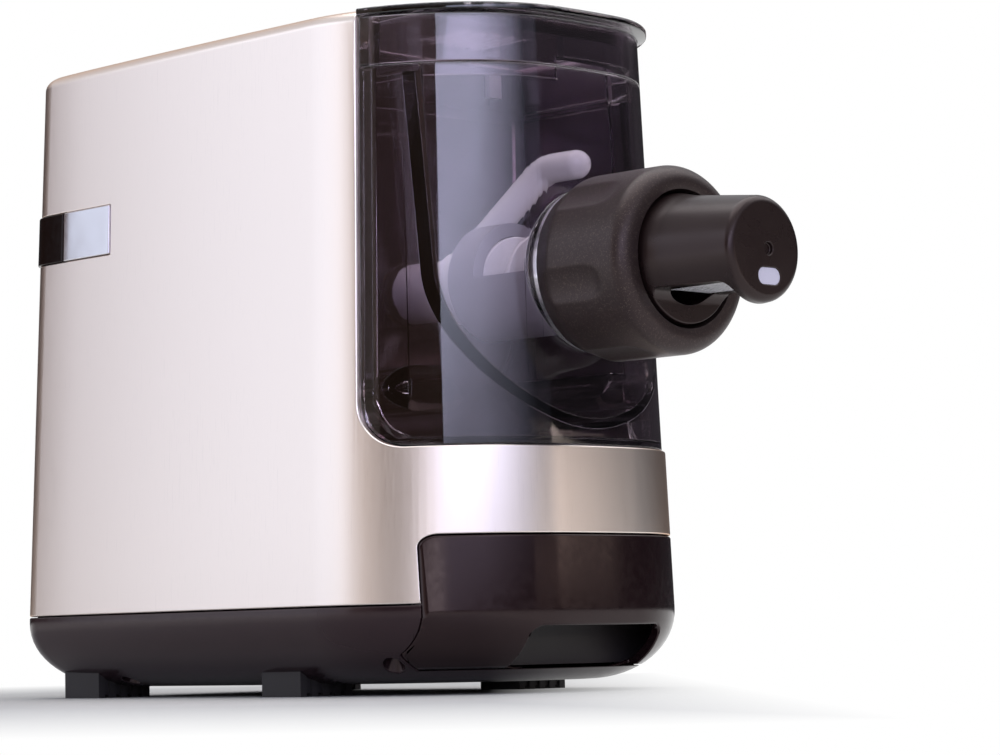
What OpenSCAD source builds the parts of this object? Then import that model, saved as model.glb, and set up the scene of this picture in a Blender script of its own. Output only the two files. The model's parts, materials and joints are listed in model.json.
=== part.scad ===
// Countertop noodle extruder: a champagne shell over a dark base with a storage drawer,
// a smoked mixing chamber with a stirring paddle and screw, a lock nut and an extrusion tube,
// driven by a motor through two pairs of spur gears.
// Lengths are in millimetres. +Z is up, the front faces -Y and the feet stand on Z = 0.

/* [Body] */
// Width of the body at its base
body_w = 185; // [176:1:196]
// Depth of the body from its front corners to the back
body_d = 288; // [276:1:304]
// Height of the body over the feet
body_h = 297; // [290:1:306]
// Corner radius of the front, seen from above
front_corner_r = 70; // [55:1:75]
// Corner radius of the back, seen from above
rear_corner_r = 18; // [12:1:26]
// Swell of the front between its corners
front_crown = 13.5; // [8:0.5:16]
// Swell of each side at mid depth
side_crown = 2.5; // [0:0.5:4]
// Inward lean of the walls for each millimetre of height
wall_draft = 0.03; // [0.01:0.005:0.035]
// Rounding of the top edge
top_edge_r = 6; // [4:1:10]
// Wall of the outer shell
shell_t = 2.6; // [2:0.2:3.2]
// Height of the shell's lower edge above the table
shell_z = 38.8; // [37:0.2:41]
// Depth of the gold cheek's edge behind the front corners
cheek_y = 47; // [42:1:54]
// Radius where the cheek's edge turns into the front band
cheek_r = 20; // [12:1:26]
// Height of the front band's upper edge
band_z = 105.7; // [102:0.1:109]

/* [Base and drawer] */
// Height of the feet under the base
foot_h = 5; // [4:0.5:8]
// Height over which the base rounds under
base_round_h = 31; // [26:1:33]
// Reach of that rounding inward
base_round_in = 34; // [20:1:36]
// Wall of the base tub
base_t = 3; // [2.4:0.2:3.6]
// Width of the drawer's front
drawer_w = 153.5; // [146:0.5:156]
// Height of the drawer front's upper edge
drawer_top_z = 67.5; // [64:0.5:70]
// Height of the drawer front's lower edge
drawer_low_z = 11; // [10.5:0.5:13]
// Depth of the drawer's tray
tray_d = 90; // [70:1:91]
// Wall of the drawer's tray
tray_t = 2; // [1.6:0.2:2.6]
// How far the drawer pulls out
drawer_travel = 66; // [50:1:68]
// Width of the finger notch under the drawer's front
notch_w = 80; // [70:1:88]
// Height of the finger notch
notch_h = 17.5; // [14:0.5:20]

/* [Mixing chamber] */
// Depth of the chamber behind the front corners
chamber_d = 107; // [100:1:112]
// Radius of the mixing bowl
bowl_r = 64.5; // [62:0.5:66]
// Wall of the mixing bowl
bowl_t = 4; // [3:0.2:4.6]
// Flare of the bowl's side walls at the rim
bowl_flare = 1.5; // [0.5:0.5:4]
// Wall of the chamber
chamber_t = 3; // [2.4:0.2:3.4]
// Width of the oval guide sleeves
sleeve_w = 38; // [34:0.5:39]
// Height of the oval guide sleeves
sleeve_h = 20.4; // [18:0.2:22]
// Wall of the guide sleeves
sleeve_t = 4.4; // [3.6:0.2:5]
// Height of the lid over the chamber's rim
lid_h = 25.5; // [23:0.5:30]
// Thickness of the lid's top plate
lid_t = 3; // [2.4:0.2:3.6]
// Overhang of the lid's lip in front
lid_lip = 6; // [3:0.5:8]

/* [Extrusion head] */
// Height of the drive axis above the table
axis_z = 182; // [178:1:186]
// Outside radius of the extrusion tube
tube_r = 22.5; // [21:0.5:23.5]
// Wall of the extrusion tube
tube_t = 2.8; // [2.2:0.2:3.2]
// Widening of the extrusion tube toward the nut
tube_flare = 3.6; // [2.6:0.2:4.2]
// Reach of the extrusion tube's end in front of the body's front corners
head_reach = 110; // [104:1:116]
// Outside radius of the lock nut
nut_r = 40.5; // [39:0.5:42]
// Length of the lock nut's full-width body
nut_l = 43; // [38:1:46]
// Reach of the nut's face in front of the body's front corners
nut_reach = 65.5; // [62:0.5:68]
// Rounding of the nut's front edge
nut_edge = 7; // [4:0.5:8]
// Number of shallow grips around the nut
nut_grips = 6; // [5:1:8]
// Inside radius of the extrusion barrel
barrel_r = 20; // [18:0.5:20.5]
// Radius of the barrel's outside
barrel_out_r = 26; // [25:0.5:27]
// Height below the axis at which the tube is cut open for the die plate
die_drop = 14; // [12:0.5:15]
// Length of the die plate's opening
die_l = 38; // [32:1:39]
// Radius of the extrusion screw's flight
screw_r = 19.5; // [17.5:0.1:19.5]
// Turns of the flight
screw_turns = 5; // [3:1:6]
// Radius at which the paddle's bar sweeps the bowl
paddle_r = 57.4; // [50:0.2:57.4]
// Radius of the paddle's bar
paddle_bar_r = 6.6; // [5:0.1:6.6]

/* [Drive] */
// Teeth of the output gear
out_teeth = 56; // [52:1:58]
// Teeth of the idler's pinion
idler_pinion_teeth = 14; // [13:1:16]
// Module of the slow pair
slow_module = 1.75; // [1.6:0.05:1.8]
// Teeth of the idler's large gear
idler_teeth = 63; // [58:1:66]
// Teeth of the motor's pinion
motor_teeth = 12; // [12:1:15]
// Module of the fast pair
fast_module = 1; // [0.9:0.05:1.05]
// Side angle of the idler's axle below the drive axis
idler_angle = 20; // [14:1:24]
// Radius of the motor's can
motor_r = 34; // [30:1:35]
// Length of the motor's can
motor_l = 72; // [60:1:76]

/* [Controls and inlet] */
// Width of the control panel on the top
panel_w = 118; // [100:1:124]
// Depth of the control panel
panel_d = 58; // [50:1:64]
// Diameter of the round buttons
button_d = 15; // [12:0.5:17]
// Travel of a button
button_travel = 1.4; // [1:0.1:1.8]
// Height of the band set into the back
rear_band_h = 23.4; // [18:0.2:26]
// Length of the band along each side
rear_band_l = 73; // [60:1:80]

/* [Hidden] */

// Clearances
gap = 0.5;        // between parts that lie side by side
slide_gap = 0.4;  // around parts that slide in one another
run_gap = 0.05;   // between a shaft and its bore, on the radius

half_w = body_w/2;
mid_y = body_d/2;
lean_z = 60;                         // height at which the plan has its stated width
base_z = foot_h;
// Moves the body's front plane so that the whole is centred
front_y = (head_reach - body_d + lean(base_z + base_round_h))/2;
top_t = 3;
fine = 64;
coarse = 32;

// Plan of the body, anticlockwise from the front right corner
function arc(cx, cy, r, from, steps) =
  [for (i = [0:steps]) [cx + r*cos(from + 90*i/steps), cy + r*sin(from + 90*i/steps)]];
function between(p, q, n) = [for (i = [1:n]) p + (q - p)*i/(n + 1)];
function last(list) = list[len(list) - 1];

front_right = arc(half_w - front_corner_r, front_corner_r, front_corner_r, -90, 10);
rear_right = arc(half_w - rear_corner_r, body_d - rear_corner_r, rear_corner_r, 0, 5);
rear_left = arc(rear_corner_r - half_w, body_d - rear_corner_r, rear_corner_r, 90, 5);
front_left = arc(front_corner_r - half_w, front_corner_r, front_corner_r, 180, 10);
plan_flat = concat(
  front_right, between(last(front_right), rear_right[0], 5),
  rear_right, between(last(rear_right), rear_left[0], 2),
  rear_left, between(last(rear_left), front_left[0], 5),
  front_left, between(last(front_left), front_right[0], 5));
function crowned(p) = [
  p.x*(1 + side_crown/half_w*(1 - pow((p.y - mid_y)/mid_y, 2))),
  p.y - front_crown*(1 - pow(p.x/half_w, 2))*(1 - p.y/body_d)];
plan = [for (p = plan_flat) crowned(p)];

// One level of the body's form at height z, drawn in by an inset on every side
function lean(z) = wall_draft*(z - lean_z);
function level(z, inset, lip = 0) = let (i = inset + lean(z))
  [for (p = plan) [p.x*(1 - i/half_w), mid_y + (p.y - mid_y)*(1 - i/mid_y) - lip*(1 - p.y/body_d), z]];

// Half width of the body's form at depth y and height z
function leg(r, d) = sqrt(pow(r, 2) - pow(max(0, d), 2));
function plan_x(y) = (half_w - front_corner_r + leg(front_corner_r, front_corner_r - y))
  *(1 + side_crown/half_w*(1 - pow((y - mid_y)/mid_y, 2)));
function wall_x(y, z, inset) = let (i = inset + lean(z))
  plan_x(mid_y + (y - mid_y)/(1 - i/mid_y))*(1 - i/half_w);

// Depth of the body's front at x, over its rounded corners, at height z
function plan_front(x) = front_corner_r - leg(front_corner_r, abs(x) - half_w + front_corner_r)
  - front_crown*(1 - pow(x/half_w, 2));
function wall_y(x, z, inset) = let (i = inset + lean(z))
  mid_y + (plan_front(x/(1 - i/half_w)) - mid_y)*(1 - i/mid_y);

// A closed form through a list of levels, from the lowest to the highest
module loft(levels) {
  n = len(plan);
  rows = len(levels);
  faces = concat(
    [[for (i = [0:n - 1]) i]],
    [for (r = [0:rows - 2], i = [0:n - 1]) [r*n + i, (r + 1)*n + i, (r + 1)*n + (i + 1)%n]],
    [for (r = [0:rows - 2], i = [0:n - 1]) [r*n + i, (r + 1)*n + (i + 1)%n, r*n + (i + 1)%n]],
    [[for (i = [0:n - 1]) rows*n - 1 - i]]);
  polyhedron(points = [for (l = levels) each l], faces = faces);
}

// Rounding of the underside: inset for a height
function under(z) = z >= base_z + base_round_h ? 0
  : base_round_in*(1 - sqrt(1 - pow(1 - (z - base_z)/base_round_h, 2)));
under_steps = [0, 0.05, 0.14, 0.28, 0.48, 0.72, 1];
function low_levels(t, top, steps = under_steps, closed = true) = concat(
  [for (s = steps) let (z = base_z + s*base_round_h) level(z + t, under(z) + t)],
  closed ? [level(top, t)] : []);
floor_steps = [for (i = [0:3]) under_steps[i]];
inner_steps = [for (i = [0:2:6]) under_steps[i]];

// Rounding of the top edge
top_steps = [0, 30, 60, 90];
function high_levels(low, t) = concat(
  [level(low, t)],
  [for (a = top_steps) level(body_h - top_edge_r + top_edge_r*sin(a), t + top_edge_r*(1 - cos(a)))]);

// Places the body's parts in the frame of the whole machine
module placed() translate([0, front_y, 0]) children();

// A profile drawn in x and z, run from y0 to y1
module along_y(y0, y1) translate([0, y1, 0]) rotate([90, 0, 0]) linear_extrude(y1 - y0) children();

// A round bar or bore along y
module rod(r, y0, y1, x = 0, z = axis_z, fn = fine) translate([x, y1, z]) rotate([90, 0, 0])
  cylinder(r = r, h = y1 - y0, $fn = fn);

// A ring along y
module ring(r_out, r_in, y0, y1, x = 0, z = axis_z) difference() {
  rod(r_out, y0, y1, x, z);
  rod(r_in, y0 - 1, y1 + 1, x, z);
}

// A form drawn about the drive axis, with its own +Z to the front
module turned() translate([0, 0, axis_z]) rotate([90, 0, 0]) children();

module box(low, high) translate(low) cube(high - low);

// A flat shape with round corners
module round_rect(w, h, r) {
  square([w - 2*r, h], center = true);
  square([w, h - 2*r], center = true);
  for (x = [-1, 1], y = [-1, 1]) translate([x*(w/2 - r), y*(h/2 - r)]) circle(r, $fn = coarse);
}

// Places that several parts share
bulk_y = chamber_d + 3;              // front of the bulkhead behind the chamber
bulk_t = 3;
deck_t = 3;
step = 1.3;                          // how far the chamber lies inside the shell's outline
side_gap = 1.5;                      // around the chamber and the lid, between the shell's cheeks
cheek_in = shell_t + side_gap;
rim_t = 2.4;                         // extra wall at the shell's top edge
floor_gap = 0.3;                     // between the chamber and the deck it stands on
chamber_z = band_z + floor_gap;
chamber_top_z = body_h - lid_h;
screw_x = half_w - 18;               // screws that join the base and the shell
screw_ys = [41, body_d - 66];
screw_seat_z = base_z + 16;          // face that their heads press against
opening_y = 34;                      // how far back the drawer's front reaches
tray_x = half_w - 30.5;              // half width of the tray
rail_y = 36;
tray_front_y = 18;
post_x = half_w - 32.5;              // guide posts beside the bowl
post_z = axis_z - 51;
post_gap = 0.8;
post_y = 60;
sleeve_y = 29.5;
inlet_x = 54.5 - half_w;
inlet_z = 72;
panel_y = body_d - 92;
plate_y = bulk_y + bulk_t + 9;       // front of the gearbox plate
plate_t = 3;
slow_y = plate_y + plate_t + 2;      // front of the slow gears
slow_w = 10;
fast_y = slow_y + slow_w + 3;        // front of the fast gears
fast_w = 7;
cover_y = fast_y + fast_w + 2.5;     // front of the gearbox cover
motor_y = cover_y + plate_t;
slow_c = (out_teeth + idler_pinion_teeth)*slow_module/2;
fast_c = (idler_teeth + motor_teeth)*fast_module/2;
idler_x = slow_c*sin(idler_angle);
idler_z = axis_z - slow_c*cos(idler_angle);
motor_angle = asin(idler_x/fast_c);
motor_z = idler_z - fast_c*cos(motor_angle);
shaft_r = 8;
idler_r = 4;
motor_shaft_r = 3;
hex_af = 14;

// Side profile of the opening in the shell, with the rounded turn of the cheek's edge
function opening_profile(d) = concat(
  [[-60, band_z + d]],
  [for (a = [-90:10:0]) [cheek_y - d - cheek_r*(1 - cos(a)), band_z + d + cheek_r*(1 + sin(a))]],
  [[cheek_y - d + 3, body_h + 20], [-60, body_h + 20]]);
module across(w) rotate([90, 0, 90]) translate([0, 0, -w/2]) linear_extrude(w) children();
module front_opening(d = 0) across(2*body_w) polygon(opening_profile(d));

// Hollow of the shell, narrower at its top edge
function hollow_levels(low, high, d) = [level(low, shell_t + d), level(body_h - 14, shell_t + d),
  level(body_h - 5, shell_t + rim_t + d), level(high, shell_t + rim_t + d)];

module outer_shell() color([0.80, 0.69, 0.63]) placed() difference() {
  union() {
    difference() {
      loft(high_levels(shell_z, 0));
      // Hollow, closed above only behind the lid
      difference() {
        loft(hollow_levels(shell_z - 20, body_h + 1, 0));
        box([-body_w, chamber_d + gap, body_h - top_t], [body_w, body_d + 20, body_h + 2]);
      }
    }
    // Columns for the screws from below, each on a rib from the wall
    intersection() {
      loft([level(shell_z, shell_t/2), level(shell_z + 20, shell_t/2)]);
      for (s = [-1, 1], y = screw_ys) {
        translate([s*screw_x, y, shell_z + tongue_h]) cylinder(r = 5, h = 14, $fn = coarse);
        translate([s*(screw_x + 11), y, shell_z + tongue_h + 7]) cube([22, 2.4, 14], center = true);
      }
    }
  }
  front_opening();
  // Cut for the drawer's front
  along_y(-60, opening_y + gap) translate([0, drawer_top_z + gap - 30])
    round_rect(drawer_w + 2*gap, 60, drawer_corner + gap);
  // Seat of the control panel and the opening under it
  translate([0, panel_y, body_h - 2]) linear_extrude(5) round_rect(panel_w + 2*gap, panel_d + 2*gap, 6 + gap);
  translate([0, panel_y, body_h - 10]) linear_extrude(10) round_rect(panel_w - 6, panel_d - 6, 4);
  // Groove of the band round the back
  intersection() {
    difference() {
      loft([level(band_low, -2), level(band_low + rear_band_h, -2)]);
      loft([level(band_low - 1, 1.2), level(band_low + rear_band_h + 1, 1.2)]);
    }
    box([-body_w, body_d - rear_band_l, 0], [body_w, body_d + 20, body_h]);
  }
  // Inlet in the back
  inlet_cut(gap);
  // Screws
  for (s = [-1, 1], y = screw_ys)
    translate([s*screw_x, y, shell_z]) cylinder(r = 1.6, h = 14, $fn = coarse);
}
drawer_corner = 5;
band_low = 205.9;                    // lower edge of the band round the back

module rear_ring(from, to, d) intersection() {
  difference() {
    loft([level(band_low + d, -0.8), level(band_low + rear_band_h - d, -0.8)]);
    loft([level(band_low - 1, 1.15), level(band_low + rear_band_h + 1, 1.15)]);
  }
  box([-body_w, from, 0], [body_w, to, body_h]);
}
insert_l = 36;
band_y = body_d - rear_band_l;
module rear_band() color([0.05, 0.045, 0.05]) placed()
  rear_ring(band_y + insert_l + 0.3, body_d + 20, 0.2);
module band_inserts() color([0.8, 0.8, 0.82]) placed()
  rear_ring(band_y + 0.2, band_y + insert_l, 0.2);

tongue_h = 3;
module base_columns(top) for (s = [-1, 1], y = screw_ys)
  translate([s*screw_x, y, 0]) cylinder(r = 7, h = top, $fn = coarse);
module base_tub() color([0.10, 0.07, 0.07]) placed() difference() {
  union() {
    difference() {
      loft(low_levels(0, shell_z - gap));
      difference() {
        loft(low_levels(base_t, shell_z + 4));
        base_columns(shell_z + 10);
      }
    }
    // Tongue inside the shell's lower edge, and the columns' ends
    difference() {
      loft([level(shell_z - 4, shell_t + 0.3), level(shell_z + tongue_h, shell_t + 0.3)]);
      difference() {
        loft([level(shell_z - 5, shell_t + 2), level(shell_z + 4, shell_t + 2)]);
        base_columns(shell_z + 10);
      }
    }
  }
  box([-drawer_w/2 - gap, -60, drawer_low_z - gap], [drawer_w/2 + gap, opening_y + gap, shell_z + 10]);
  // Way for the drawer's tray
  box([-tray_x - slide_gap, opening_y - 4, drawer_low_z + 1 - slide_gap],
    [tray_x + slide_gap, chamber_d, shell_z + 10]);
  for (s = [-1, 1], y = screw_ys) {
    translate([s*screw_x, y, base_z - 1]) cylinder(r = 4.6, h = screw_seat_z - base_z + 1, $fn = coarse);
    translate([s*screw_x, y, base_z]) cylinder(r = 2.1, h = 50, $fn = coarse);
  }
  for (s = [-1, 1], y = foot_ys) translate([s*foot_x, y, base_z - 1])
    cylinder(r = 1.65, h = base_t + 3, $fn = coarse);
  // Air slots in the floor under the fan
  for (i = [-4:4]) box([i*9 - 2, body_d - 68, base_z - 1], [i*9 + 2, body_d - 38, base_z + base_t + 1]);
}

// Screws: a head and a shank, from the head's face upward
module screw(r, shank, head_r, head_h) {
  cylinder(r = head_r, h = head_h, $fn = coarse);
  cylinder(r = r, h = head_h + shank, $fn = coarse);
}
shell_head = 2.2;
module shell_screws() color("silver") placed() for (s = [-1, 1], y = screw_ys)
  translate([s*screw_x, y, screw_seat_z - shell_head])
    screw(1.6, shell_z + 12 - screw_seat_z, 3.6, shell_head);

// Feet: rubber blocks that follow the rounded underside, with folds across their front, back and sole
foot_x = half_w - 25.5;
foot_ys = [106.5, body_d - 37.5];
foot_half = [15, 13];
foot_top = base_z + 8.4;
fold_step = 6.6;
fold_w = 3;
module foot(s, y) color([0.05, 0.05, 0.05]) placed() difference() {
  translate([s*foot_x, y, 0]) difference() {
    box([-foot_half.x, -foot_half.y, 0], [foot_half.x, foot_half.y, foot_top]);
    for (i = [-1.5:1.5]) {
      x = i*fold_step;
      box([x - fold_w/2, -foot_half.y - 1, -1], [x + fold_w/2, foot_half.y + 1, 1.5]);
      for (e = [-1, 1]) translate([x, e*foot_half.y, foot_top/2])
        cube([fold_w, 2.4, foot_top + 2], center = true);
    }
  }
  loft(low_levels(0, foot_top, floor_steps, false));
  translate([s*foot_x, y, -1]) cylinder(r = 3.6, h = 1 + 3.2, $fn = coarse);
  translate([s*foot_x, y, 0]) cylinder(r = 1.65, h = 20, $fn = coarse);
}
module foot_rear_left() foot(-1, foot_ys[1]);
module foot_rear_right() foot(1, foot_ys[1]);
module foot_front_left() foot(-1, foot_ys[0]);
module foot_front_right() foot(1, foot_ys[0]);
module foot_screws() color("silver") placed() for (s = [-1, 1], y = foot_ys)
  translate([s*foot_x, y, 1.2]) screw(1.6, base_z + base_t - 3.2, 3.4, 2);

// Drawer: a front that follows the body's form, on a tray that runs in two rails
front_t = 3;
module drawer_front() color([0.13, 0.09, 0.09]) placed() difference() {
  intersection() {
    difference() {
      loft(low_levels(0, drawer_top_z + 20));
      loft(low_levels(front_t, drawer_top_z + 20));
    }
    along_y(-60, opening_y) translate([0, drawer_top_z - 30]) round_rect(drawer_w, 60, drawer_corner);
    box([-drawer_w, -60, drawer_low_z], [drawer_w, opening_y, drawer_top_z]);
  }
  along_y(-60, tray_front_y - 6) translate([0, drawer_low_z + notch_h - 30]) round_rect(notch_w, 60, 6);
}

boss_x = tray_x - 12;
module drawer_tray() color([0.16, 0.12, 0.12]) placed() difference() {
  intersection() {
    union() {
      box([-tray_x, tray_front_y, drawer_low_z + 1], [tray_x, tray_front_y + tray_d, drawer_top_z - 6]);
      // Bosses that carry the front
      for (s = [-1, 1]) box([s*boss_x - 6, -20, drawer_low_z + 26],
        [s*boss_x + 6, tray_front_y + 1, drawer_low_z + 44]);
    }
    loft(low_levels(front_t, drawer_top_z + 20));
  }
  intersection() {
    box([-tray_x + tray_t, tray_front_y + tray_t, drawer_low_z + 1 + tray_t],
      [tray_x - tray_t, tray_front_y + tray_d - tray_t, drawer_top_z]);
    loft(low_levels(front_t + tray_t, drawer_top_z + 20, inner_steps));
  }
}

rail_t = 2.4;
rail_end = rail_y + drawer_travel + 7;
module drawer_rails() color([0.2, 0.2, 0.2]) placed() intersection() {
  for (s = [-1, 1]) {
    x = tray_x + slide_gap;
    mirror([s < 0 ? 1 : 0, 0, 0]) {
      box([x, rail_y, base_z + base_t], [x + rail_t, rail_end, base_z + base_t + 22]);
      box([x - 6, rail_y, base_z], [x + 1, rail_end, drawer_low_z + 1 - slide_gap]);
    }
  }
  loft(low_levels(base_t, shell_z + 4, floor_steps));
}

// Inner frame: bulkhead, deck under the chamber and the two guide posts
module oval(w, h) {
  square([w - h, h], center = true);
  for (s = [-1, 1]) translate([s*(w - h)/2, 0]) circle(h/2, $fn = coarse);
}
module inner_frame() color([0.15, 0.14, 0.15]) placed() difference() {
  union() {
    intersection() {
      loft(hollow_levels(shell_z + 4, body_h - top_t - gap, gap));
      union() {
        box([-body_w, bulk_y, shell_z + 4], [body_w, bulk_y + bulk_t, body_h]);
        box([-body_w, -60, band_z - deck_t], [body_w, bulk_y + bulk_t, band_z]);
      }
    }
    for (s = [-1, 1]) along_y(post_y, bulk_y + 1) translate([s*post_x, post_z])
      oval(sleeve_w - 2*sleeve_t - 2*post_gap, sleeve_h - 2*sleeve_t - 2*post_gap);
    // Web that stands on the base's floor behind the drawer
    box([8 - tray_x, bulk_y, base_z + base_t], [tray_x - 8, bulk_y + bulk_t, shell_z + 5]);
    rod(20, bulk_y, bulk_y + bulk_t + 4);
    // Pillars that carry the gearbox
    for (p = pillar_points) rod(5, bulk_y, plate_y, p.x, p.y, coarse);
  }
  rod(14, bulk_y - 1, bulk_y + bulk_t + 5);
  for (p = pillar_points) rod(1.7, bulk_y + bulk_t, plate_y + 1, p.x, p.y, coarse);
  // Window for the lid's sensor
  box([sensor_x - 5, bulk_y - 1, sensor_z - 8], [sensor_x + 5, bulk_y + 1.2, sensor_z + 8]);
}
sensor_x = bowl_r - 14.5;
sensor_z = chamber_top_z + 12;
// Outline of the gearbox round the slow gear and the motor, and the pillars in its corners
plate_half = out_teeth*slow_module/2 + 9;
plate_low = motor_z - motor_r - 3;
plate_high = axis_z + plate_half - 3;
pillar_x = plate_half - 12;
pillar_points = [[-pillar_x, plate_high - 9], [pillar_x, plate_high - 9], [-pillar_x, plate_low + 11],
  [pillar_x + 6, plate_low + 11]];

module interlock_switch() color([0.1, 0.3, 0.1]) placed()
  box([sensor_x - 7, bulk_y + bulk_t, sensor_z - 9], [sensor_x + 7, bulk_y + bulk_t + 5, sensor_z + 6]);

// Control panel on the top with its window and buttons
button_points = [[-40, -10], [40, -10], [-16, -14], [16, -14]];
window_w = 52;
window_d = 16;
module control_panel() color([0.04, 0.04, 0.05]) placed() translate([0, panel_y, body_h - 2]) difference() {
  linear_extrude(2.4) round_rect(panel_w, panel_d, 6);
  for (p = button_points) translate([p.x, p.y, -1]) cylinder(d = button_d + 2*slide_gap, h = 5, $fn = fine);
  translate([0, 14, 1]) linear_extrude(3) square([window_w + 0.4, window_d + 0.4], center = true);
  translate([0, 14, -1]) linear_extrude(3) square([window_w - 4, window_d - 4], center = true);
}
module display_window() color([0.1, 0.1, 0.12, 0.8]) placed() translate([0, panel_y + 14, body_h - 1])
  linear_extrude(1.4) square([window_w, window_d], center = true);
button_top = 1.2;
module button(i) color([0.75, 0.75, 0.77]) placed()
  translate([button_points[i].x, panel_y + button_points[i].y, body_h]) {
    translate([0, 0, -3.5]) cylinder(d = button_d, h = 3.5 + button_top, $fn = fine);
    translate([0, 0, -3.5]) cylinder(d = button_d + 3, h = 1.2, $fn = fine);
    translate([0, 0, stem_z - body_h]) cylinder(r = 2, h = body_h - 3 - stem_z, $fn = coarse);
  }
board_top = body_h - 16;
switch_h = 3.5;
stem_z = board_top + switch_h + button_travel + 0.3;
module power_button() button(0);
module start_button() button(1);
module menu_button_left() button(2);
module menu_button_right() button(3);
module control_board() color([0.1, 0.35, 0.15]) placed() union() {
  translate([0, panel_y, board_top - 1.6]) linear_extrude(1.6) round_rect(panel_w - 10, panel_d - 10, 3);
  // Posts up to the shell's top
  for (x = [-1, 1], y = [-1, 1]) translate([x*(panel_w/2 - 1), panel_y + y*(panel_d/2 - 10), 0])
    translate([0, 0, board_top - 1.6]) {
      cylinder(r = 2.5, h = body_h - top_t - board_top + 1.6, $fn = coarse);
      translate([-x*6, 0, 0.8]) cube([9, 5, 1.6], center = true);
    }
}
module button_switches() color([0.1, 0.1, 0.1]) placed() for (p = button_points)
  translate([p.x - 3, panel_y + p.y - 3, board_top]) cube([6, 6, switch_h]);

// Mains inlet in the back: a shroud with three pins
inlet_w = 24;
inlet_h = 16;
module inlet_cut(d) translate([inlet_x, body_d + 20, inlet_z]) rotate([90, 0, 0]) linear_extrude(60)
  square([inlet_w + 4 + 2*d, inlet_h + 4 + 2*d], center = true);
inlet_face = body_d - 1.5;
inlet_seat = body_d - shell_t - lean(inlet_z + inlet_h/2 + 6);
module power_inlet() color([0.04, 0.04, 0.04]) placed() difference() {
  union() {
    box([inlet_x - inlet_w/2 - 2, inlet_face - 26, inlet_z - inlet_h/2 - 2],
      [inlet_x + inlet_w/2 + 2, inlet_face, inlet_z + inlet_h/2 + 2]);
    box([inlet_x - inlet_w/2 - 6, inlet_seat - 2.5, inlet_z - inlet_h/2 - 6],
      [inlet_x + inlet_w/2 + 6, inlet_seat, inlet_z + inlet_h/2 + 6]);
  }
  box([inlet_x - inlet_w/2, inlet_face - 18, inlet_z - inlet_h/2],
    [inlet_x + inlet_w/2, inlet_face + 1, inlet_z + inlet_h/2]);
  for (p = pin_points) box([inlet_x + p.x - 1, inlet_face - 27, inlet_z + p.y - 2],
    [inlet_x + p.x + 1, inlet_face - 17, inlet_z + p.y + 2]);
}
pin_points = [[-7, -2], [7, -2], [0, 3.5]];
module inlet_pins() color("silver") placed() for (p = pin_points)
  box([inlet_x + p.x - 1, inlet_face - 32, inlet_z + p.y - 2],
    [inlet_x + p.x + 1, inlet_face - 3, inlet_z + p.y + 2]);

// Power board on edge beside the motor
board_x = 28 - half_w;
board_y = [bulk_y + 40, body_d - 50];
board_z = [base_z + base_t, axis_z - 54];
module power_board() color([0.1, 0.35, 0.15]) placed() intersection() {
  box([board_x - 1.6, board_y[0], board_z[0]], [board_x, board_y[1], board_z[1]]);
  loft(low_levels(base_t, board_z[1] + 10, floor_steps));
}
fin_step = 6;
module heat_sink() color("silver") placed() translate([board_x, board_y[0] + 8, board_z[1] - 44]) {
  box([0, 0, 0], [3, 6*fin_step + 4, 36]);
  for (i = [0:6]) box([3, i*fin_step, 0], [17, i*fin_step + 2, 36]);
}
module capacitors() color([0.1, 0.1, 0.3]) placed() for (z = [0, 24])
  translate([board_x, board_y[0] + 70, board_z[0] + 24 + z]) rotate([0, 90, 0])
    cylinder(r = 9, h = 22, $fn = coarse);

// Involute spur gears, drawn with tooth 0 centred on the angle 0
pressure = 25;
backlash = 0.12;
function inv(r, rb) = let (a = acos(min(1, rb/r))) tan(a)*180/PI - a;
function polar(r, a) = [r*cos(a), r*sin(a)];
function tooth(n, m, centre) = let (
    rp = n*m/2, rb = rp*cos(pressure), root = rp - 1.15*m, tip = rp + 0.88*m, start = max(rb, root),
    half = 90/n - backlash/2/rp*180/PI + inv(rp, rb),
    radii = [for (i = [0:3]) start + (tip - start)*i/3])
  concat(
    start > root ? [polar(root, centre - half + inv(start, rb))] : [],
    [for (r = radii) polar(r, centre - half + inv(r, rb))],
    [for (i = [3:-1:0]) polar(radii[i], centre + half - inv(radii[i], rb))],
    start > root ? [polar(root, centre + half - inv(start, rb))] : []);
module gear(n, m) polygon([for (k = [0:n - 1]) each tooth(n, m, k*360/n)]);
module gear_at(n, m, turn, y, w, x, z) along_y(y, y + w) translate([x, z]) rotate(turn) gear(n, m);

slow_dir = idler_angle - 90;             // direction from the output shaft to the idler
fast_dir = -90 - motor_angle;            // direction from the idler to the motor

module gearbox_outline() {
  translate([0, (plate_low + plate_high)/2]) round_rect(2*plate_half, plate_high - plate_low, 12);
}
module gearbox_plate() color("silver") placed() difference() {
  along_y(plate_y, plate_y + plate_t) gearbox_outline();
  rod(14, plate_y - 1, plate_y + plate_t + 1);
  rod(idler_r, plate_y - 1, plate_y + plate_t + 1, idler_x, idler_z);
  for (p = pillar_points) rod(1.7, plate_y - 1, plate_y + plate_t + 1, p.x, p.y, coarse);
}
module gearbox_cover() color("silver") placed() difference() {
  union() {
    along_y(cover_y, cover_y + plate_t) gearbox_outline();
    for (p = pillar_points) rod(5, plate_y + plate_t, cover_y + 1, p.x, p.y, coarse);
  }
  rod(14, cover_y - 1, cover_y + plate_t + 1);
  rod(idler_r, cover_y - 1, cover_y + plate_t + 1, idler_x, idler_z);
  rod(8, cover_y - 1, cover_y + plate_t + 1, 0, motor_z);
  for (p = pillar_points) rod(1.7, plate_y, cover_y + plate_t + 1, p.x, p.y, coarse);
  for (a = motor_screw_angles)
    rod(1.7, cover_y - 1, cover_y + plate_t + 1, 22*cos(a), motor_z + 22*sin(a), coarse);
}
motor_screw_angles = [180, 300];
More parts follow.
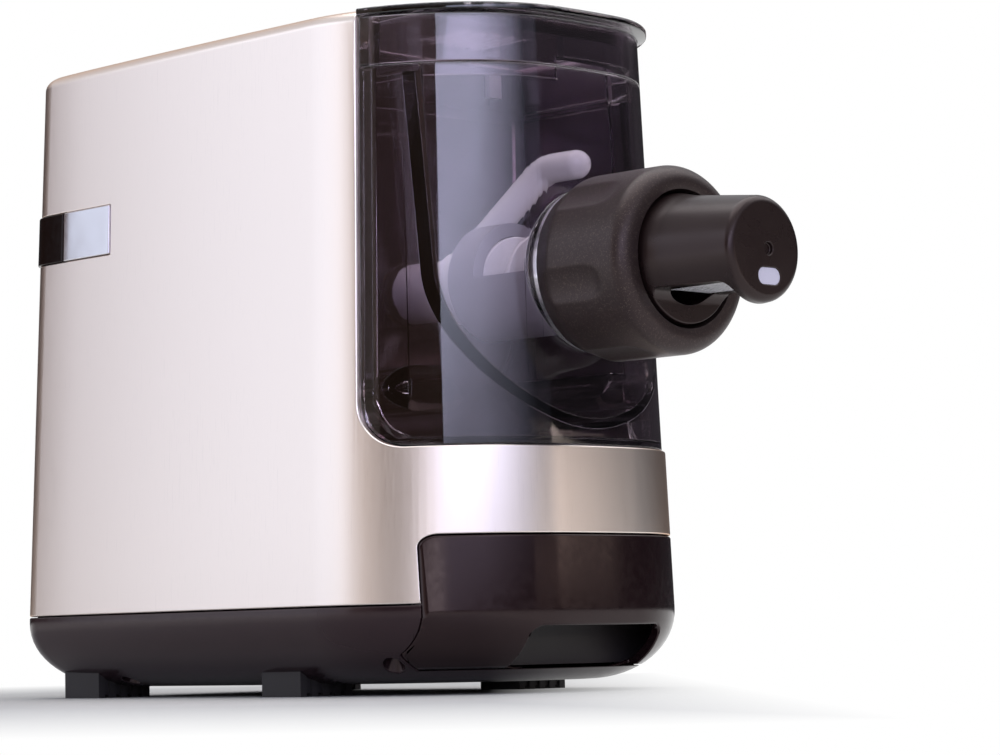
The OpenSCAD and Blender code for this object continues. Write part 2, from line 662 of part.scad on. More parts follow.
module gearbox_screws() color([0.7, 0.7, 0.7]) placed() for (p = pillar_points) {
  rod(1.65, bulk_y + bulk_t, cover_y + plate_t, p.x, p.y, coarse);
  rod(3.4, cover_y + plate_t, cover_y + plate_t + 2.4, p.x, p.y, coarse);
}
module output_bearings() color([0.75, 0.6, 0.35]) placed() for (y = [plate_y, cover_y]) difference() {
  union() {
    rod(14, y, y + plate_t);
    rod(16, y == plate_y ? y - 1.5 : y + plate_t, y == plate_y ? y : y + plate_t + 1.5);
  }
  rod(shaft_r + run_gap, y - 3, y + plate_t + 3);
}
hex_y = 90;
module hex(af) circle(r = af/2/cos(30), $fn = 6);
module output_shaft() color("silver") placed() {
  along_y(hex_y, bulk_y + bulk_t) translate([0, axis_z]) hex(hex_af);
  rod(shaft_r, bulk_y + bulk_t, cover_y + plate_t + 5);
}
module output_gear() color([0.85, 0.83, 0.75]) placed() difference() {
  union() {
    gear_at(out_teeth, slow_module, slow_dir, slow_y, slow_w, 0, axis_z);
    rod(shaft_r + 6, slow_y - 1.5, slow_y + slow_w + 1.5);
  }
  rod(shaft_r, slow_y - 3, slow_y + slow_w + 3);
  for (a = [0:60:300]) rod(8, slow_y - 1, slow_y + slow_w + 1, 29*cos(a), axis_z + 29*sin(a));
}
module idler_axle() color("silver") placed() rod(idler_r, plate_y, cover_y + plate_t, idler_x, idler_z);
module idler_gears() color([0.9, 0.88, 0.8]) placed() difference() {
  union() {
    gear_at(idler_pinion_teeth, slow_module, slow_dir + 180 + 180/idler_pinion_teeth,
      slow_y - 0.5, fast_y - slow_y + 0.6, idler_x, idler_z);
    gear_at(idler_teeth, fast_module, fast_dir, fast_y, fast_w, idler_x, idler_z);
  }
  rod(idler_r + run_gap, slow_y - 2, fast_y + fast_w + 2, idler_x, idler_z);
}
fan_y = motor_y + motor_l + 4;
module motor_housing() color([0.35, 0.35, 0.37]) placed() difference() {
  union() {
    rod(motor_r, motor_y, motor_y + motor_l, 0, motor_z);
    rod(7, motor_y + motor_l, motor_y + motor_l + 2, 0, motor_z);
    // Webs that stand on the base's floor
    for (y = [motor_y + 10, motor_y + motor_l - 18])
      box([-22, y, base_z + base_t], [22, y + 8, motor_z - motor_r + 10]);
  }
  rod(motor_r - 5, motor_y + 5, motor_y + motor_l - 5, 0, motor_z);
  rod(motor_shaft_r + run_gap, motor_y - 1, motor_y + motor_l + 3, 0, motor_z);
  for (a = motor_screw_angles) rod(1.6, motor_y - 1, motor_y + 4.5, 22*cos(a), motor_z + 22*sin(a), coarse);
}
module motor_screws() color("silver") placed() for (a = motor_screw_angles) {
  rod(1.6, cover_y, motor_y + 4.5, 22*cos(a), motor_z + 22*sin(a), coarse);
  rod(3, cover_y - 1.8, cover_y, 22*cos(a), motor_z + 22*sin(a), coarse);
}
module motor_rotor() color([0.6, 0.35, 0.2]) placed() {
  rod(motor_shaft_r, fast_y - 1, fan_y + 10, 0, motor_z);
  rod(motor_r - 8, motor_y + 12, motor_y + motor_l - 12, 0, motor_z);
}
module motor_pinion() color("gold") placed() difference() {
  gear_at(motor_teeth, fast_module, fast_dir + 180 + 180/motor_teeth, fast_y - 0.5, fast_w + 1, 0, motor_z);
  rod(motor_shaft_r, fast_y - 2, fast_y + fast_w + 2, 0, motor_z);
}
module cooling_fan() color([0.1, 0.1, 0.1]) placed() difference() {
  union() {
    rod(8, fan_y, fan_y + 9, 0, motor_z);
    for (k = [0:6]) translate([0, fan_y + 4.5, motor_z]) rotate([0, k*360/7, 0]) translate([16, 0, 0])
      rotate([35, 0, 0]) cube([22, 9, 1.6], center = true);
  }
  rod(motor_shaft_r, fan_y - 5, fan_y + 12, 0, motor_z);
}
module shaft_seal() color([0.3, 0.3, 0.3]) placed() ring(15, 9, chamber_d - chamber_t, chamber_d);

// Mixing chamber: outer walls that carry on the body's form, round a trough-shaped bowl.
// Between the cheeks it keeps to the width of the opening, so that it draws out to the front.
function cheek_edge(inset) = concat(
  [for (a = [-75:15:0]) let (y = cheek_y - cheek_r*(1 - cos(a)), z = band_z + cheek_r*(1 + sin(a)))
    [wall_x(y, z, inset), z]],
  [for (z = [body_h - 14, body_h + 2]) [wall_x(cheek_y + 1, z, inset), z]]);
module cheek_profile(inset) {
  edge = concat([[cheek_edge(inset)[0].x, band_z - 3]], cheek_edge(inset));
  n = len(edge);
  polygon(concat(edge, [for (i = [1:n]) [-edge[n - i].x, edge[n - i].y]]));
}
module chamber_space(front_in, rear_in, low, high, back) intersection() {
  union() {
    intersection() {
      loft([level(low - 5, front_in), level(high, front_in)]);
      front_opening(front_in - step + gap);
    }
    intersection() {
      loft([level(low - 5, rear_in), level(high, rear_in)]);
      along_y(-60, back) cheek_profile(rear_in);
    }
  }
  box([-body_w, -60, low], [body_w, body_d, high + 1]);
}
bowl_in = step + 2.5;                  // inset of the bowl's front wall
module bowl_profile(r, rim) translate([0, axis_z]) {
  circle(r, $fn = fine);
  polygon([[-r, 0], [r, 0], [r + bowl_flare, rim - axis_z], [-r - bowl_flare, rim - axis_z]]);
}
spigot_r = nut_r - 7.4;
neck_r = nut_r - 4.7;
neck_y = -9.5;
spigot_y = neck_y - 32.5;
module mixing_chamber() color([0.35, 0.3, 0.4, 0.5]) placed() difference() {
  union() {
    difference() {
      chamber_space(step, cheek_in, chamber_z, chamber_top_z, chamber_d);
      chamber_space(step + chamber_t, cheek_in + chamber_t, chamber_z + chamber_t, chamber_top_z + 1,
        chamber_d - chamber_t);
    }
    intersection() {
      union() {
        along_y(-40, chamber_d - 1) bowl_profile(bowl_r + bowl_t, chamber_top_z - 3.5);
        for (s = [-1, 1]) along_y(sleeve_y, chamber_d - 1) translate([s*post_x, post_z])
          oval(sleeve_w, sleeve_h);
      }
      chamber_space(step + 1, cheek_in + 1, chamber_z + 1, chamber_top_z - 3.5, chamber_d - 1);
    }
    rod(neck_r - 0.5, neck_y, -2);
  }
  intersection() {
    along_y(-40, chamber_d - chamber_t) bowl_profile(bowl_r, chamber_top_z + 3);
    loft([level(chamber_z, bowl_in), level(chamber_top_z + 4, bowl_in)]);
  }
  rod(barrel_out_r + run_gap, neck_y - 1, 20);
  rod(15, chamber_d - chamber_t - 1, chamber_d + 1);
  for (s = [-1, 1]) along_y(sleeve_y - 1, chamber_d + 1) translate([s*post_x, post_z])
    oval(sleeve_w - 2*sleeve_t, sleeve_h - 2*sleeve_t);
}
ring_t = 2;
module neck_ring() color([0.7, 0.7, 0.72]) placed() ring(neck_r, spigot_r - 3, neck_y - ring_t, neck_y);

// Barrel: a full ring behind, a trough open above along the feed window, and the threaded neck
barrel_end = 54;
barrel_mouth = 4;
window_y = [2, 38];
module extrusion_barrel() color([0.75, 0.75, 0.78]) placed() difference() {
  union() {
    rod(barrel_out_r, spigot_y + seal_l, barrel_end);
    rod(spigot_r, spigot_y, neck_y - ring_t);
  }
  rod(barrel_r, spigot_y + 3, barrel_end + 1);
  rod(barrel_out_r, spigot_y - 1, spigot_y + seal_l);
  translate([0, barrel_end, axis_z]) rotate([90, 0, 0])
    cylinder(r1 = barrel_r + 3, r2 = barrel_r, h = barrel_mouth, $fn = fine);
  box([-barrel_out_r - 1, window_y[0], axis_z], [barrel_out_r + 1, window_y[1], axis_z + barrel_out_r + 1]);
}
seal_l = 4;
module barrel_seal() color([0.6, 0.15, 0.12]) placed()
  ring(barrel_out_r, barrel_r + 1, spigot_y, spigot_y + seal_l);

// Screw: a hexagon tail in the paddle's hub, a core and one helical flight
flight_t = 3;
flight_from = spigot_y + 6;
flight_to = barrel_end - barrel_mouth;
flight_steps = 14;
module flight() {
  n = round(screw_turns*flight_steps);
  core = shaft_r - 1;
  function slice(i) = let (a = 360*i/flight_steps, y = flight_from + (flight_to - flight_from - flight_t)*i/n)
    [[core*cos(a), y, core*sin(a)], [core*cos(a), y + flight_t, core*sin(a)],
     [screw_r*cos(a), y + flight_t, screw_r*sin(a)], [screw_r*cos(a), y, screw_r*sin(a)]];
  translate([0, 0, axis_z]) polyhedron(
    points = [for (i = [0:n]) each slice(i)],
    faces = concat([[3, 2, 1, 0]],
      [for (i = [0:n - 1], k = [0:3]) let (a = 4*i + k, b = 4*i + (k + 1)%4) [b, a + 4, a]],
      [for (i = [0:n - 1], k = [0:3]) let (a = 4*i + k, b = 4*i + (k + 1)%4) [b + 4, a + 4, b]],
      [[4*n, 4*n + 1, 4*n + 2, 4*n + 3]]));
}
module extrusion_screw() color([0.92, 0.92, 0.9]) placed() {
  rod(shaft_r, flight_from - 1, flight_to + 3);
  along_y(flight_to + 3, hex_y - 1) translate([0, axis_z]) hex(hex_af);
  flight();
}
// Paddle: a hub with a collar, an arm that leans forward, and a bar along the bowl's wall
paddle_angle = 24;
hub_y = [barrel_end + 6, chamber_d - chamber_t - 1];
hub_r = 13.5;
collar_r = 16.5;
collar_y = hub_y[0] + 14;
arm_root = [7, 81.4];
elbow_y = 41;
tip_y = 22;
module paddle_ball(radius, y) translate([radius*sin(paddle_angle), y, axis_z + radius*cos(paddle_angle)])
  sphere(paddle_bar_r, $fn = 20);
module stirring_paddle() color([0.94, 0.94, 0.93]) placed() difference() {
  union() {
    turned() rotate_extrude($fn = fine) polygon([
      [0, -hub_y[1]], [hub_r - 1, -hub_y[1]], [hub_r, 1 - hub_y[1]], [hub_r, -collar_y],
      [collar_r - 1, -collar_y], [collar_r, 1 - collar_y], [collar_r, -hub_y[0] - 1],
      [collar_r - 1, -hub_y[0]], [0, -hub_y[0]]]);
    hull() {
      paddle_ball(arm_root[0], arm_root[1]);
      paddle_ball(paddle_r, elbow_y);
    }
    hull() {
      paddle_ball(paddle_r, elbow_y);
      paddle_ball(paddle_r, tip_y);
    }
  }
  along_y(hub_y[0] - 1, hub_y[1] + 1) translate([0, axis_z]) hex(hex_af + 0.6);
}

// Lock nut, turned about the drive axis; profiles run forward from the body's front corners
tube_face = 4.3;                     // thickness of the tube's flange
tube_root_r = tube_r + tube_flare;
tube_neck_r = tube_root_r + 2;
nut_bore = tube_neck_r + slide_gap;
nut_back = nut_reach - nut_l;
nut_low = ring_t + slide_gap - neck_y;
flange_reach = tube_face - spigot_y;
grip_r = 28;
grip_depth = 1.8;
module lock_nut() color([0.22, 0.16, 0.15]) placed() turned() difference() {
  rotate_extrude($fn = 96) polygon(concat(
    [[spigot_r + 0.35, nut_low], [nut_r - 4, nut_low], [nut_r, nut_back]],
    [for (a = [0:15:90]) [nut_r - nut_edge + nut_edge*cos(a), nut_reach - nut_edge + nut_edge*sin(a)]],
    [[nut_bore + 1.2, nut_reach], [nut_bore, nut_reach - 6], [nut_bore, flange_reach + slide_gap],
     [spigot_r + 0.35, flange_reach + slide_gap]]));
  for (k = [0:nut_grips - 1]) rotate(k*360/nut_grips + 15)
    translate([nut_r + grip_r - grip_depth, 0, nut_low - 1])
      cylinder(r = grip_r, h = nut_reach - nut_low - 12, $fn = 96);
}

// Extrusion tube: a flange, a root that narrows out of the nut, a tapered tube with a closed end,
// an opening for the die plate below and a slot for the insert in its face
root_reach = nut_reach - 1.5;
taper_reach = nut_reach + 7.5;
cap_t = 3;
cap_edge = 3.5;
cap_x = 2;
slot = [13.6, 7.2];
slot_drop = 11.5;
tube_open = [6 - head_reach, 6 - head_reach + die_l];
module extrusion_tube() color([0.2, 0.15, 0.14]) placed() difference() {
  turned() rotate_extrude($fn = 96) polygon(concat(
    [[tube_r - tube_t, -spigot_y], [spigot_r - 1.5, -spigot_y], [spigot_r - 1.5, flange_reach],
     [tube_neck_r, flange_reach], [tube_neck_r, root_reach], [tube_root_r, taper_reach]],
    [for (a = [0:15:90]) [tube_r - cap_edge + cap_edge*cos(a), head_reach - cap_edge + cap_edge*sin(a)]],
    [[0, head_reach], [0, head_reach - cap_t], [tube_r - tube_t, head_reach - cap_t]]));
  across(3*tube_r) translate([(tube_open[0] + tube_open[1])/2, axis_z - die_drop - tube_r])
    round_rect(die_l, 2*tube_r, 5);
  along_y(-head_reach - 1, cap_t + 1 - head_reach) translate([cap_x, axis_z - slot_drop])
    oval(slot.x, slot.y);
  rod(2.6, -head_reach - 1, 1.8 - head_reach, cap_x, axis_z, coarse);
}
die_w = 2*sqrt(pow(tube_r - tube_t, 2) - pow(die_drop, 2)) - 0.1;
module die_plate() color([0.92, 0.92, 0.9]) placed() difference() {
  box([-die_w/2, tube_open[0] + 0.1, axis_z - die_drop],
    [die_w/2, tube_open[1] - 0.1, axis_z - die_drop + 3]);
  for (i = [-3:3], j = [0:7]) translate([i*3.4, tube_open[0] + 4.5 + j*(die_l - 9)/7, axis_z - die_drop - 1])
    cylinder(r = 1, h = 5, $fn = 8);
}
module tube_insert() color([0.9, 0.88, 0.92]) placed()
  along_y(0.4 - head_reach, cap_t - head_reach) translate([cap_x, axis_z - slot_drop])
    oval(slot.x - 0.2, slot.y - 0.2);

// Lid: a top plate with a lip, an outer skirt on the chamber's rim and an inner skirt inside it
lid_z = chamber_top_z + 0.4;
lid_wall = 2.6;
skirt_in = bowl_in + 0.6;
skirt_low = chamber_top_z - 5.5;
skirt_half = bowl_r + bowl_flare - 0.8;
lip_in = step + 0.4;
skirt_t = 1.8;
skirt_back = chamber_d - chamber_t - 0.6;
module skirt_space(d, low, high) intersection() {
  loft([level(low, skirt_in + d), level(high, skirt_in + d)]);
  box([d - skirt_half, -60, low - 1], [skirt_half - d, skirt_back - d, high + 1]);
}
module lid() color([0.35, 0.3, 0.38, 0.5]) placed() difference() {
  union() {
    difference() {
      union() {
        chamber_space(step, cheek_in + rim_t, lid_z, body_h, chamber_d);
        intersection() {
          loft([level(body_h - lid_t - 1, lip_in), level(body_h - lid_t, lip_in, lid_lip),
            level(body_h, lip_in, lid_lip)]);
          front_opening(gap + 1);
        }
      }
      chamber_space(step + lid_wall, cheek_in + rim_t + lid_wall, lid_z - 1, body_h - lid_t,
        chamber_d - lid_wall);
    }
    // Inner skirt inside the bowl's mouth
    difference() {
      skirt_space(0, skirt_low, body_h - lid_t + 0.5);
      skirt_space(skirt_t, skirt_low - 1, body_h);
      box([catch_x[0] - 5.5, -60, skirt_low - 2], [body_w, 40, catch_z[0]]);
    }
  }
  // Slots for pouring water in
  for (i = [-2:2]) translate([i*9, 62, body_h - lid_t - 1]) linear_extrude(lid_t + 2) rotate(90) oval(34, 4);
}
// Catch bar behind the skirt's front
catch_x = [-6, 52];
catch_z = [chamber_top_z + 5, chamber_top_z + 14.5];
module lid_catch() color([0.08, 0.07, 0.08]) placed() difference() {
  intersection() {
    loft([level(catch_z[0], skirt_in + skirt_t + 0.05), level(catch_z[1], skirt_in + skirt_t + 0.05)]);
    box([catch_x[0], -60, catch_z[0]], [catch_x[1], 30, catch_z[1]]);
  }
  translate([0, 0, catch_z[0] - 1]) linear_extrude(catch_z[1] - catch_z[0] + 2)
    polygon(concat([[catch_x[0] - 1, 60]], [for (x = [catch_x[0] - 1, 10, 25, 38, 48, catch_x[1] + 1])
      [x, wall_y(x, catch_z[0], skirt_in + skirt_t) + 4]], [[catch_x[1] + 1, 60]]));
}
magnet_y = skirt_back - skirt_t;
module lid_magnet() color([0.4, 0.4, 0.42]) placed()
  box([sensor_x - 4, magnet_y - 3, sensor_z - 6], [sensor_x + 4, magnet_y, sensor_z + 5]);

base_tub();
foot_rear_left();
foot_rear_right();
foot_front_left();
foot_front_right();
foot_screws();
outer_shell();
shell_screws();
rear_band();
band_inserts();
inner_frame();
drawer_front();
drawer_tray();
drawer_rails();
control_panel();
display_window();
power_button();
start_button();
menu_button_left();
menu_button_right();
control_board();
button_switches();
power_inlet();
inlet_pins();
power_board();
heat_sink();
capacitors();
interlock_switch();
gearbox_plate();
gearbox_cover();
gearbox_screws();
output_bearings();
output_shaft();
output_gear();
idler_axle();
idler_gears();
motor_housing();
motor_rotor();
motor_pinion();
cooling_fan();
motor_screws();
shaft_seal();
mixing_chamber();
neck_ring();
lid();
lid_catch();
lid_magnet();
stirring_paddle();
extrusion_screw();
extrusion_barrel();
barrel_seal();
lock_nut();
extrusion_tube();
die_plate();
tube_insert();
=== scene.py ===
import json
import math

import bmesh
import bpy
from mathutils import Matrix, Vector


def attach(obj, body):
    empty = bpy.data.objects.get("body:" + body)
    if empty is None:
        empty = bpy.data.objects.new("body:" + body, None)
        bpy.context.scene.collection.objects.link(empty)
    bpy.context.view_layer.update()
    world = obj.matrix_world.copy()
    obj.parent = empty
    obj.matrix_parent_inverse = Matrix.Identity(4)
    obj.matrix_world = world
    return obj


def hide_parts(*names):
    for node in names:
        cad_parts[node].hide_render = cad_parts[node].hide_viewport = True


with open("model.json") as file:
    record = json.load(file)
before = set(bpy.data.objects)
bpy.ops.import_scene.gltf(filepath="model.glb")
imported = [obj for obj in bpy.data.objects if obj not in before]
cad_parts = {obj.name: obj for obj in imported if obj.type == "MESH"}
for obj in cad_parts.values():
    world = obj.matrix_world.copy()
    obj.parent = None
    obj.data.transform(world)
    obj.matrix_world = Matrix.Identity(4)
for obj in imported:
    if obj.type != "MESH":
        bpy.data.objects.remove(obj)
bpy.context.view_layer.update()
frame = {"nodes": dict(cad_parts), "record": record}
nodes = frame["nodes"]

# Sizes of the part, in millimetres in the body's own frame (y = 0 at the front corners)
MM = 0.001
FRONT_Y = -89.36
BODY_W, BODY_D, BODY_H = 185.0, 288.0, 297.0
FRONT_R, REAR_R = 70.0, 18.0
FRONT_CROWN, SIDE_CROWN = 13.5, 2.5
DRAFT, LEAN_Z = 0.03, 60.0
TOP_R = 6.0
RUN_IN, RUN_IN_Y = 0.013, 242.0  # share of the width by which the rear corners run in, and where that starts
SHELL_T, SHELL_Z, RIM_T = 2.6, 38.8, 2.4
CHEEK_Y, CHEEK_R, BAND_Z = 47.0, 20.0, 105.7
BASE_Z, BASE_T, ROUND_H, ROUND_IN = 5.0, 3.0, 31.0, 34.0
DRAWER_W, DRAWER_TOP, DRAWER_LOW, DRAWER_T, DRAWER_R = 153.5, 67.5, 11.0, 3.0, 5.0
NOTCH_W, NOTCH_H = 80.0, 17.5
OPENING_Y, TRAY_X = 34.0, 62.0
CHAMBER_D, CHAMBER_TOP, CHAMBER_T = 107.0, 271.5, 3.0
BOWL_R, BOWL_T, BOWL_FLARE = 64.5, 4.0, 1.5
SLEEVE_W, SLEEVE_H, SLEEVE_T, SLEEVE_Y, POST_X, POST_Z = 38.0, 20.4, 4.4, 29.5, 60.0, 131.0
LID_T, LID_LIP, LID_WALL = 3.0, 6.0, 2.6
AXIS_Z = 182.0
TUBE_R, TUBE_T, TUBE_FLARE, REACH = 22.5, 2.8, 3.6, 110.0
NUT_R, NUT_L, NUT_REACH, NUT_EDGE, NUT_GRIPS = 40.5, 43.0, 65.5, 7.0, 6
BARREL_OUT, BARREL_END = 26.0, 54.0
DIE_DROP, DIE_L = 14.0, 38.0
SCREW_R, SHAFT_R, SCREW_TURNS = 19.5, 8.0, 5
PADDLE_R, PADDLE_BAR_R, PADDLE_ANGLE = 57.4, 6.6, 24.0
GAP, STEP, SIDE_GAP = 0.5, 1.3, 1.5
CHEEK_IN = SHELL_T + SIDE_GAP
CHAMBER_Z = BAND_Z + 0.3
BOWL_IN = STEP + 2.5
NECK_Y = -9.5
SPIGOT_Y, SPIGOT_R = NECK_Y - 32.5, NUT_R - 7.4
FLANGE = 4.3 - SPIGOT_Y
# A grip is a hollow of GRIP_R about GRIP_MIDDLE; it fades out beyond GRIP_FACE
GRIP_MIDDLE, GRIP_R, GRIP_TURN, GRIP_FACE, GRIP_BLEND = NUT_R + 26.2, 28.0, 15.0, 43.0, 0.22
BAND_LOW, BAND_H, BAND_L, INSERT_L = 205.9, 23.4, 73.0, 36.0
PANEL_Y, PANEL_W, PANEL_D = 196.0, 118.0, 58.0
INLET_X, INLET_Z, INLET_W, INLET_H = -38.0, 72.0, 28.0, 20.0
SCREW_X, SCREW_YS = 74.5, (41.0, 222.0)
HUB_Y, HUB_R, COLLAR_R, COLLAR_Y = (60.0, 103.0), 13.5, 16.5, 74.0
HALF_W, MID_Y = BODY_W/2, BODY_D/2


# ---------------------------------------------------------------- mesh helpers

def sharpen(mesh, angle):
    """Smooth shading with sharp edges where faces meet at more than an angle."""
    bm = bmesh.new()
    bm.from_mesh(mesh)
    limit = math.radians(angle)
    for f in bm.faces:
        f.smooth = True
    for e in bm.edges:
        e.smooth = len(e.link_faces) == 2 and e.calc_face_angle(0) < limit
    bm.to_mesh(mesh)
    bm.free()


def solid(name, verts, faces):
    """A closed mesh from points in the body's frame, in millimetres."""
    mesh = bpy.data.meshes.new(name)
    mesh.from_pydata([(x*MM, (y + FRONT_Y)*MM, z*MM) for x, y, z in verts], [], faces)
    bm = bmesh.new()
    bm.from_mesh(mesh)
    bmesh.ops.remove_doubles(bm, verts=bm.verts, dist=1e-7)
    bmesh.ops.recalc_face_normals(bm, faces=bm.faces)
    bm.to_mesh(mesh)
    bm.free()
    obj = bpy.data.objects.new(name, mesh)
    bpy.context.scene.collection.objects.link(obj)
    return obj


def settle(obj):
    """Applies an object's modifiers to its mesh."""
    dg = bpy.context.evaluated_depsgraph_get()
    mesh = bpy.data.meshes.new_from_object(obj.evaluated_get(dg))
    old = obj.data
    obj.modifiers.clear()
    obj.data = mesh
    mesh.name = obj.name
    bpy.data.meshes.remove(old)


def combine(obj, others, operation):
    """Booleans of obj with each of the others, which are used up."""
    for other in others:
        m = obj.modifiers.new("b", "BOOLEAN")
        m.operation = operation
        m.solver = "EXACT"
        m.object = other
        settle(obj)
        data = other.data
        bpy.data.objects.remove(other)
        bpy.data.meshes.remove(data)
    return obj


def cut(obj, *others):
    return combine(obj, others, "DIFFERENCE")


def join(obj, *others):
    return combine(obj, others, "UNION")


def common(obj, *others):
    return combine(obj, others, "INTERSECT")


def tidy(mesh):
    """Joins the coplanar faces that a boolean left cut up."""
    bm = bmesh.new()
    bm.from_mesh(mesh)
    bmesh.ops.remove_doubles(bm, verts=bm.verts, dist=2e-6)
    bmesh.ops.dissolve_degenerate(bm, dist=2e-6, edges=bm.edges)
    bmesh.ops.dissolve_limit(bm, angle_limit=math.radians(0.03), verts=bm.verts, edges=bm.edges)
    bm.to_mesh(mesh)
    bm.free()


def rounded(obj, width, segments, angle=38.0):
    """Rounds the edges of a mesh, then shades it smooth between its sharp edges."""
    tidy(obj.data)
    sharpen(obj.data, angle)
    m = obj.modifiers.new("r", "BEVEL")
    m.width = width*MM
    m.segments = segments
    m.limit_method = "ANGLE"
    m.angle_limit = math.radians(angle)
    m.use_clamp_overlap = False
    m.loop_slide = False
    m.harden_normals = False
    m.miter_outer = "MITER_ARC"
    settle(obj)
    sharpen(obj.data, 50)
    w = obj.modifiers.new("n", "WEIGHTED_NORMAL")
    w.keep_sharp = True
    w.weight = 60
    return obj


def arc(cx, cy, r, start, steps, sweep=90.0):
    return [(cx + r*math.cos(math.radians(start + sweep*i/steps)),
             cy + r*math.sin(math.radians(start + sweep*i/steps))) for i in range(steps + 1)]


def between(p, q, n):
    """n points evenly spaced between p and q."""
    return [(p[0] + (q[0] - p[0])*i/(n + 1), p[1] + (q[1] - p[1])*i/(n + 1)) for i in range(1, n + 1)]


def body_plan():
    """The body's outline from above: rounded corners, crowned sides and a crowned front."""
    fr = arc(HALF_W - FRONT_R, FRONT_R, FRONT_R, -90, 36)
    rr = arc(HALF_W - REAR_R, BODY_D - REAR_R, REAR_R, 0, 16)
    rl = arc(REAR_R - HALF_W, BODY_D - REAR_R, REAR_R, 90, 16)
    fl = arc(FRONT_R - HALF_W, FRONT_R, FRONT_R, 180, 36)
    flat = (fr + between(fr[-1], rr[0], 28) + rr + between(rr[-1], rl[0], 8) + rl
            + between(rl[-1], fl[0], 28) + fl + between(fl[-1], fr[0], 18))
    plan = []
    for x, y in flat:
        crown = SIDE_CROWN/HALF_W*(1 - ((y - MID_Y)/MID_Y)**2)
        run_in = RUN_IN*max(0.0, (y - RUN_IN_Y)/(BODY_D - RUN_IN_Y))**2
        plan.append((x*(1 + crown - run_in), y - FRONT_CROWN*(1 - (x/HALF_W)**2)*(1 - y/BODY_D)))
    return plan


PLAN = body_plan()


def lean(z):
    """How far the walls draw in at a height."""
    return DRAFT*(z - LEAN_Z)


def level(z, inset, lip=0.0):
    """The outline at one height, moved in by inset and the walls' draft; lip draws its front forward."""
    i = inset + lean(z)
    return [(x*(1 - i/HALF_W), MID_Y + (y - MID_Y)*(1 - i/MID_Y) - lip*(1 - y/BODY_D), z) for x, y in PLAN]


def loft(name, levels):
    """A solid through outlines stacked at their heights."""
    n = len(PLAN)
    rows = len(levels)
    verts = [p for row in levels for p in row]
    faces = [list(range(n))[::-1], [(rows - 1)*n + i for i in range(n)]]
    faces += [[r*n + i, r*n + (i + 1) % n, (r + 1)*n + (i + 1) % n, (r + 1)*n + i]
              for r in range(rows - 1) for i in range(n)]
    return solid(name, verts, faces)


def under(z):
    """How far the rounding under the base draws in at a height."""
    if z >= BASE_Z + ROUND_H:
        return 0.0
    return ROUND_IN*(1 - math.sqrt(1 - (1 - (z - BASE_Z)/ROUND_H)**2))


def low_levels(t, top):
    """Outlines of the rounded base up to top, moved in by t."""
    rows = []
    for k in range(17):
        s = 1 - math.cos(math.radians(90*k/16))
        z = BASE_Z + s*ROUND_H
        rows.append(level(z + t, under(z) + t))
    return rows + [level(top, t)]


def high_levels(low, t):
    """Outlines from low up over the rounded top edge, moved in by t."""
    angles = [math.radians(a) for a in range(0, 91, 9)]
    return [level(low, t)] + [level(BODY_H - TOP_R + TOP_R*math.sin(a), t + TOP_R*(1 - math.cos(a))) for a in angles]


def prism(name, outline, move):
    """A prism of a flat outline: move(u, v, w) places a point for w = 0 and w = 1."""
    n = len(outline)
    verts = [move(u, v, w) for w in (0, 1) for u, v in outline]
    faces = [list(range(n))[::-1], list(range(n, 2*n))]
    faces += [[i, (i + 1) % n, n + (i + 1) % n, n + i] for i in range(n)]
    return solid(name, verts, faces)


def along_y(name, outline, y0, y1):
    return prism(name, outline, lambda u, v, w: (u, y0 + (y1 - y0)*w, v))


def along_z(name, outline, z0, z1):
    return prism(name, outline, lambda u, v, w: (u, v, z0 + (z1 - z0)*w))


def along_x(name, outline, x0, x1):
    return prism(name, outline, lambda u, v, w: (x0 + (x1 - x0)*w, u, v))


def block(name, low, high):
    return along_z(name, [(low[0], low[1]), (high[0], low[1]), (high[0], high[1]), (low[0], high[1])], low[2], high[2])


def round_rect(w, h, r, cx, cy):
    pts = []
    for sx, sy, a in ((1, -1, -90), (1, 1, 0), (-1, 1, 90), (-1, -1, 180)):
        pts += arc(cx + sx*(w/2 - r), cy + sy*(h/2 - r), r, a, 8)
    return pts


def oval(w, h, cx=0.0, cy=0.0):
    return arc(cx + (w - h)/2, cy, h/2, -90, 24, 180) + arc(cx - (w - h)/2, cy, h/2, 90, 24, 180)


def circle(r, cx, cy, n):
    return arc(cx, cy, r, 0, n, 360)[:-1]


def rod(name, r, y0, y1, x=0.0, z=AXIS_Z, n=96):
    return along_y(name, circle(r, x, z, n), y0, y1)


def lathe(name, profile, n):
    """A closed profile of (radius, y) turned about the drive axis."""
    m = len(profile)
    verts, faces = [], []
    for k in range(n):
        a = 2*math.pi*k/n
        verts += [(r*math.cos(a), y, AXIS_Z + r*math.sin(a)) for r, y in profile]
    for k in range(n):
        k2 = (k + 1) % n
        for i in range(m):
            j = (i + 1) % m
            faces.append([k*m + i, k*m + j, k2*m + j, k2*m + i])
    obj = solid(name, verts, faces)
    bm = bmesh.new()
    bm.from_mesh(obj.data)
    bmesh.ops.dissolve_degenerate(bm, dist=1e-7, edges=bm.edges)
    bmesh.ops.recalc_face_normals(bm, faces=bm.faces)
    bm.to_mesh(obj.data)
    bm.free()
    return obj


def opening_outline(d):
    """The opening in the shell, in y and z, with the rounded turn of the cheek's edge."""
    pts = [(-60.0, BAND_Z + d)]
    for a in range(-90, 1, 5):
        turn = math.radians(a)
        pts.append((CHEEK_Y - d - CHEEK_R*(1 - math.cos(turn)), BAND_Z + d + CHEEK_R*(1 + math.sin(turn))))
    return pts + [(CHEEK_Y - d + 3, BODY_H + 20), (-60.0, BODY_H + 20)]


def front_opening(name, d=0.0):
    return along_x(name, opening_outline(d), -BODY_W, BODY_W)


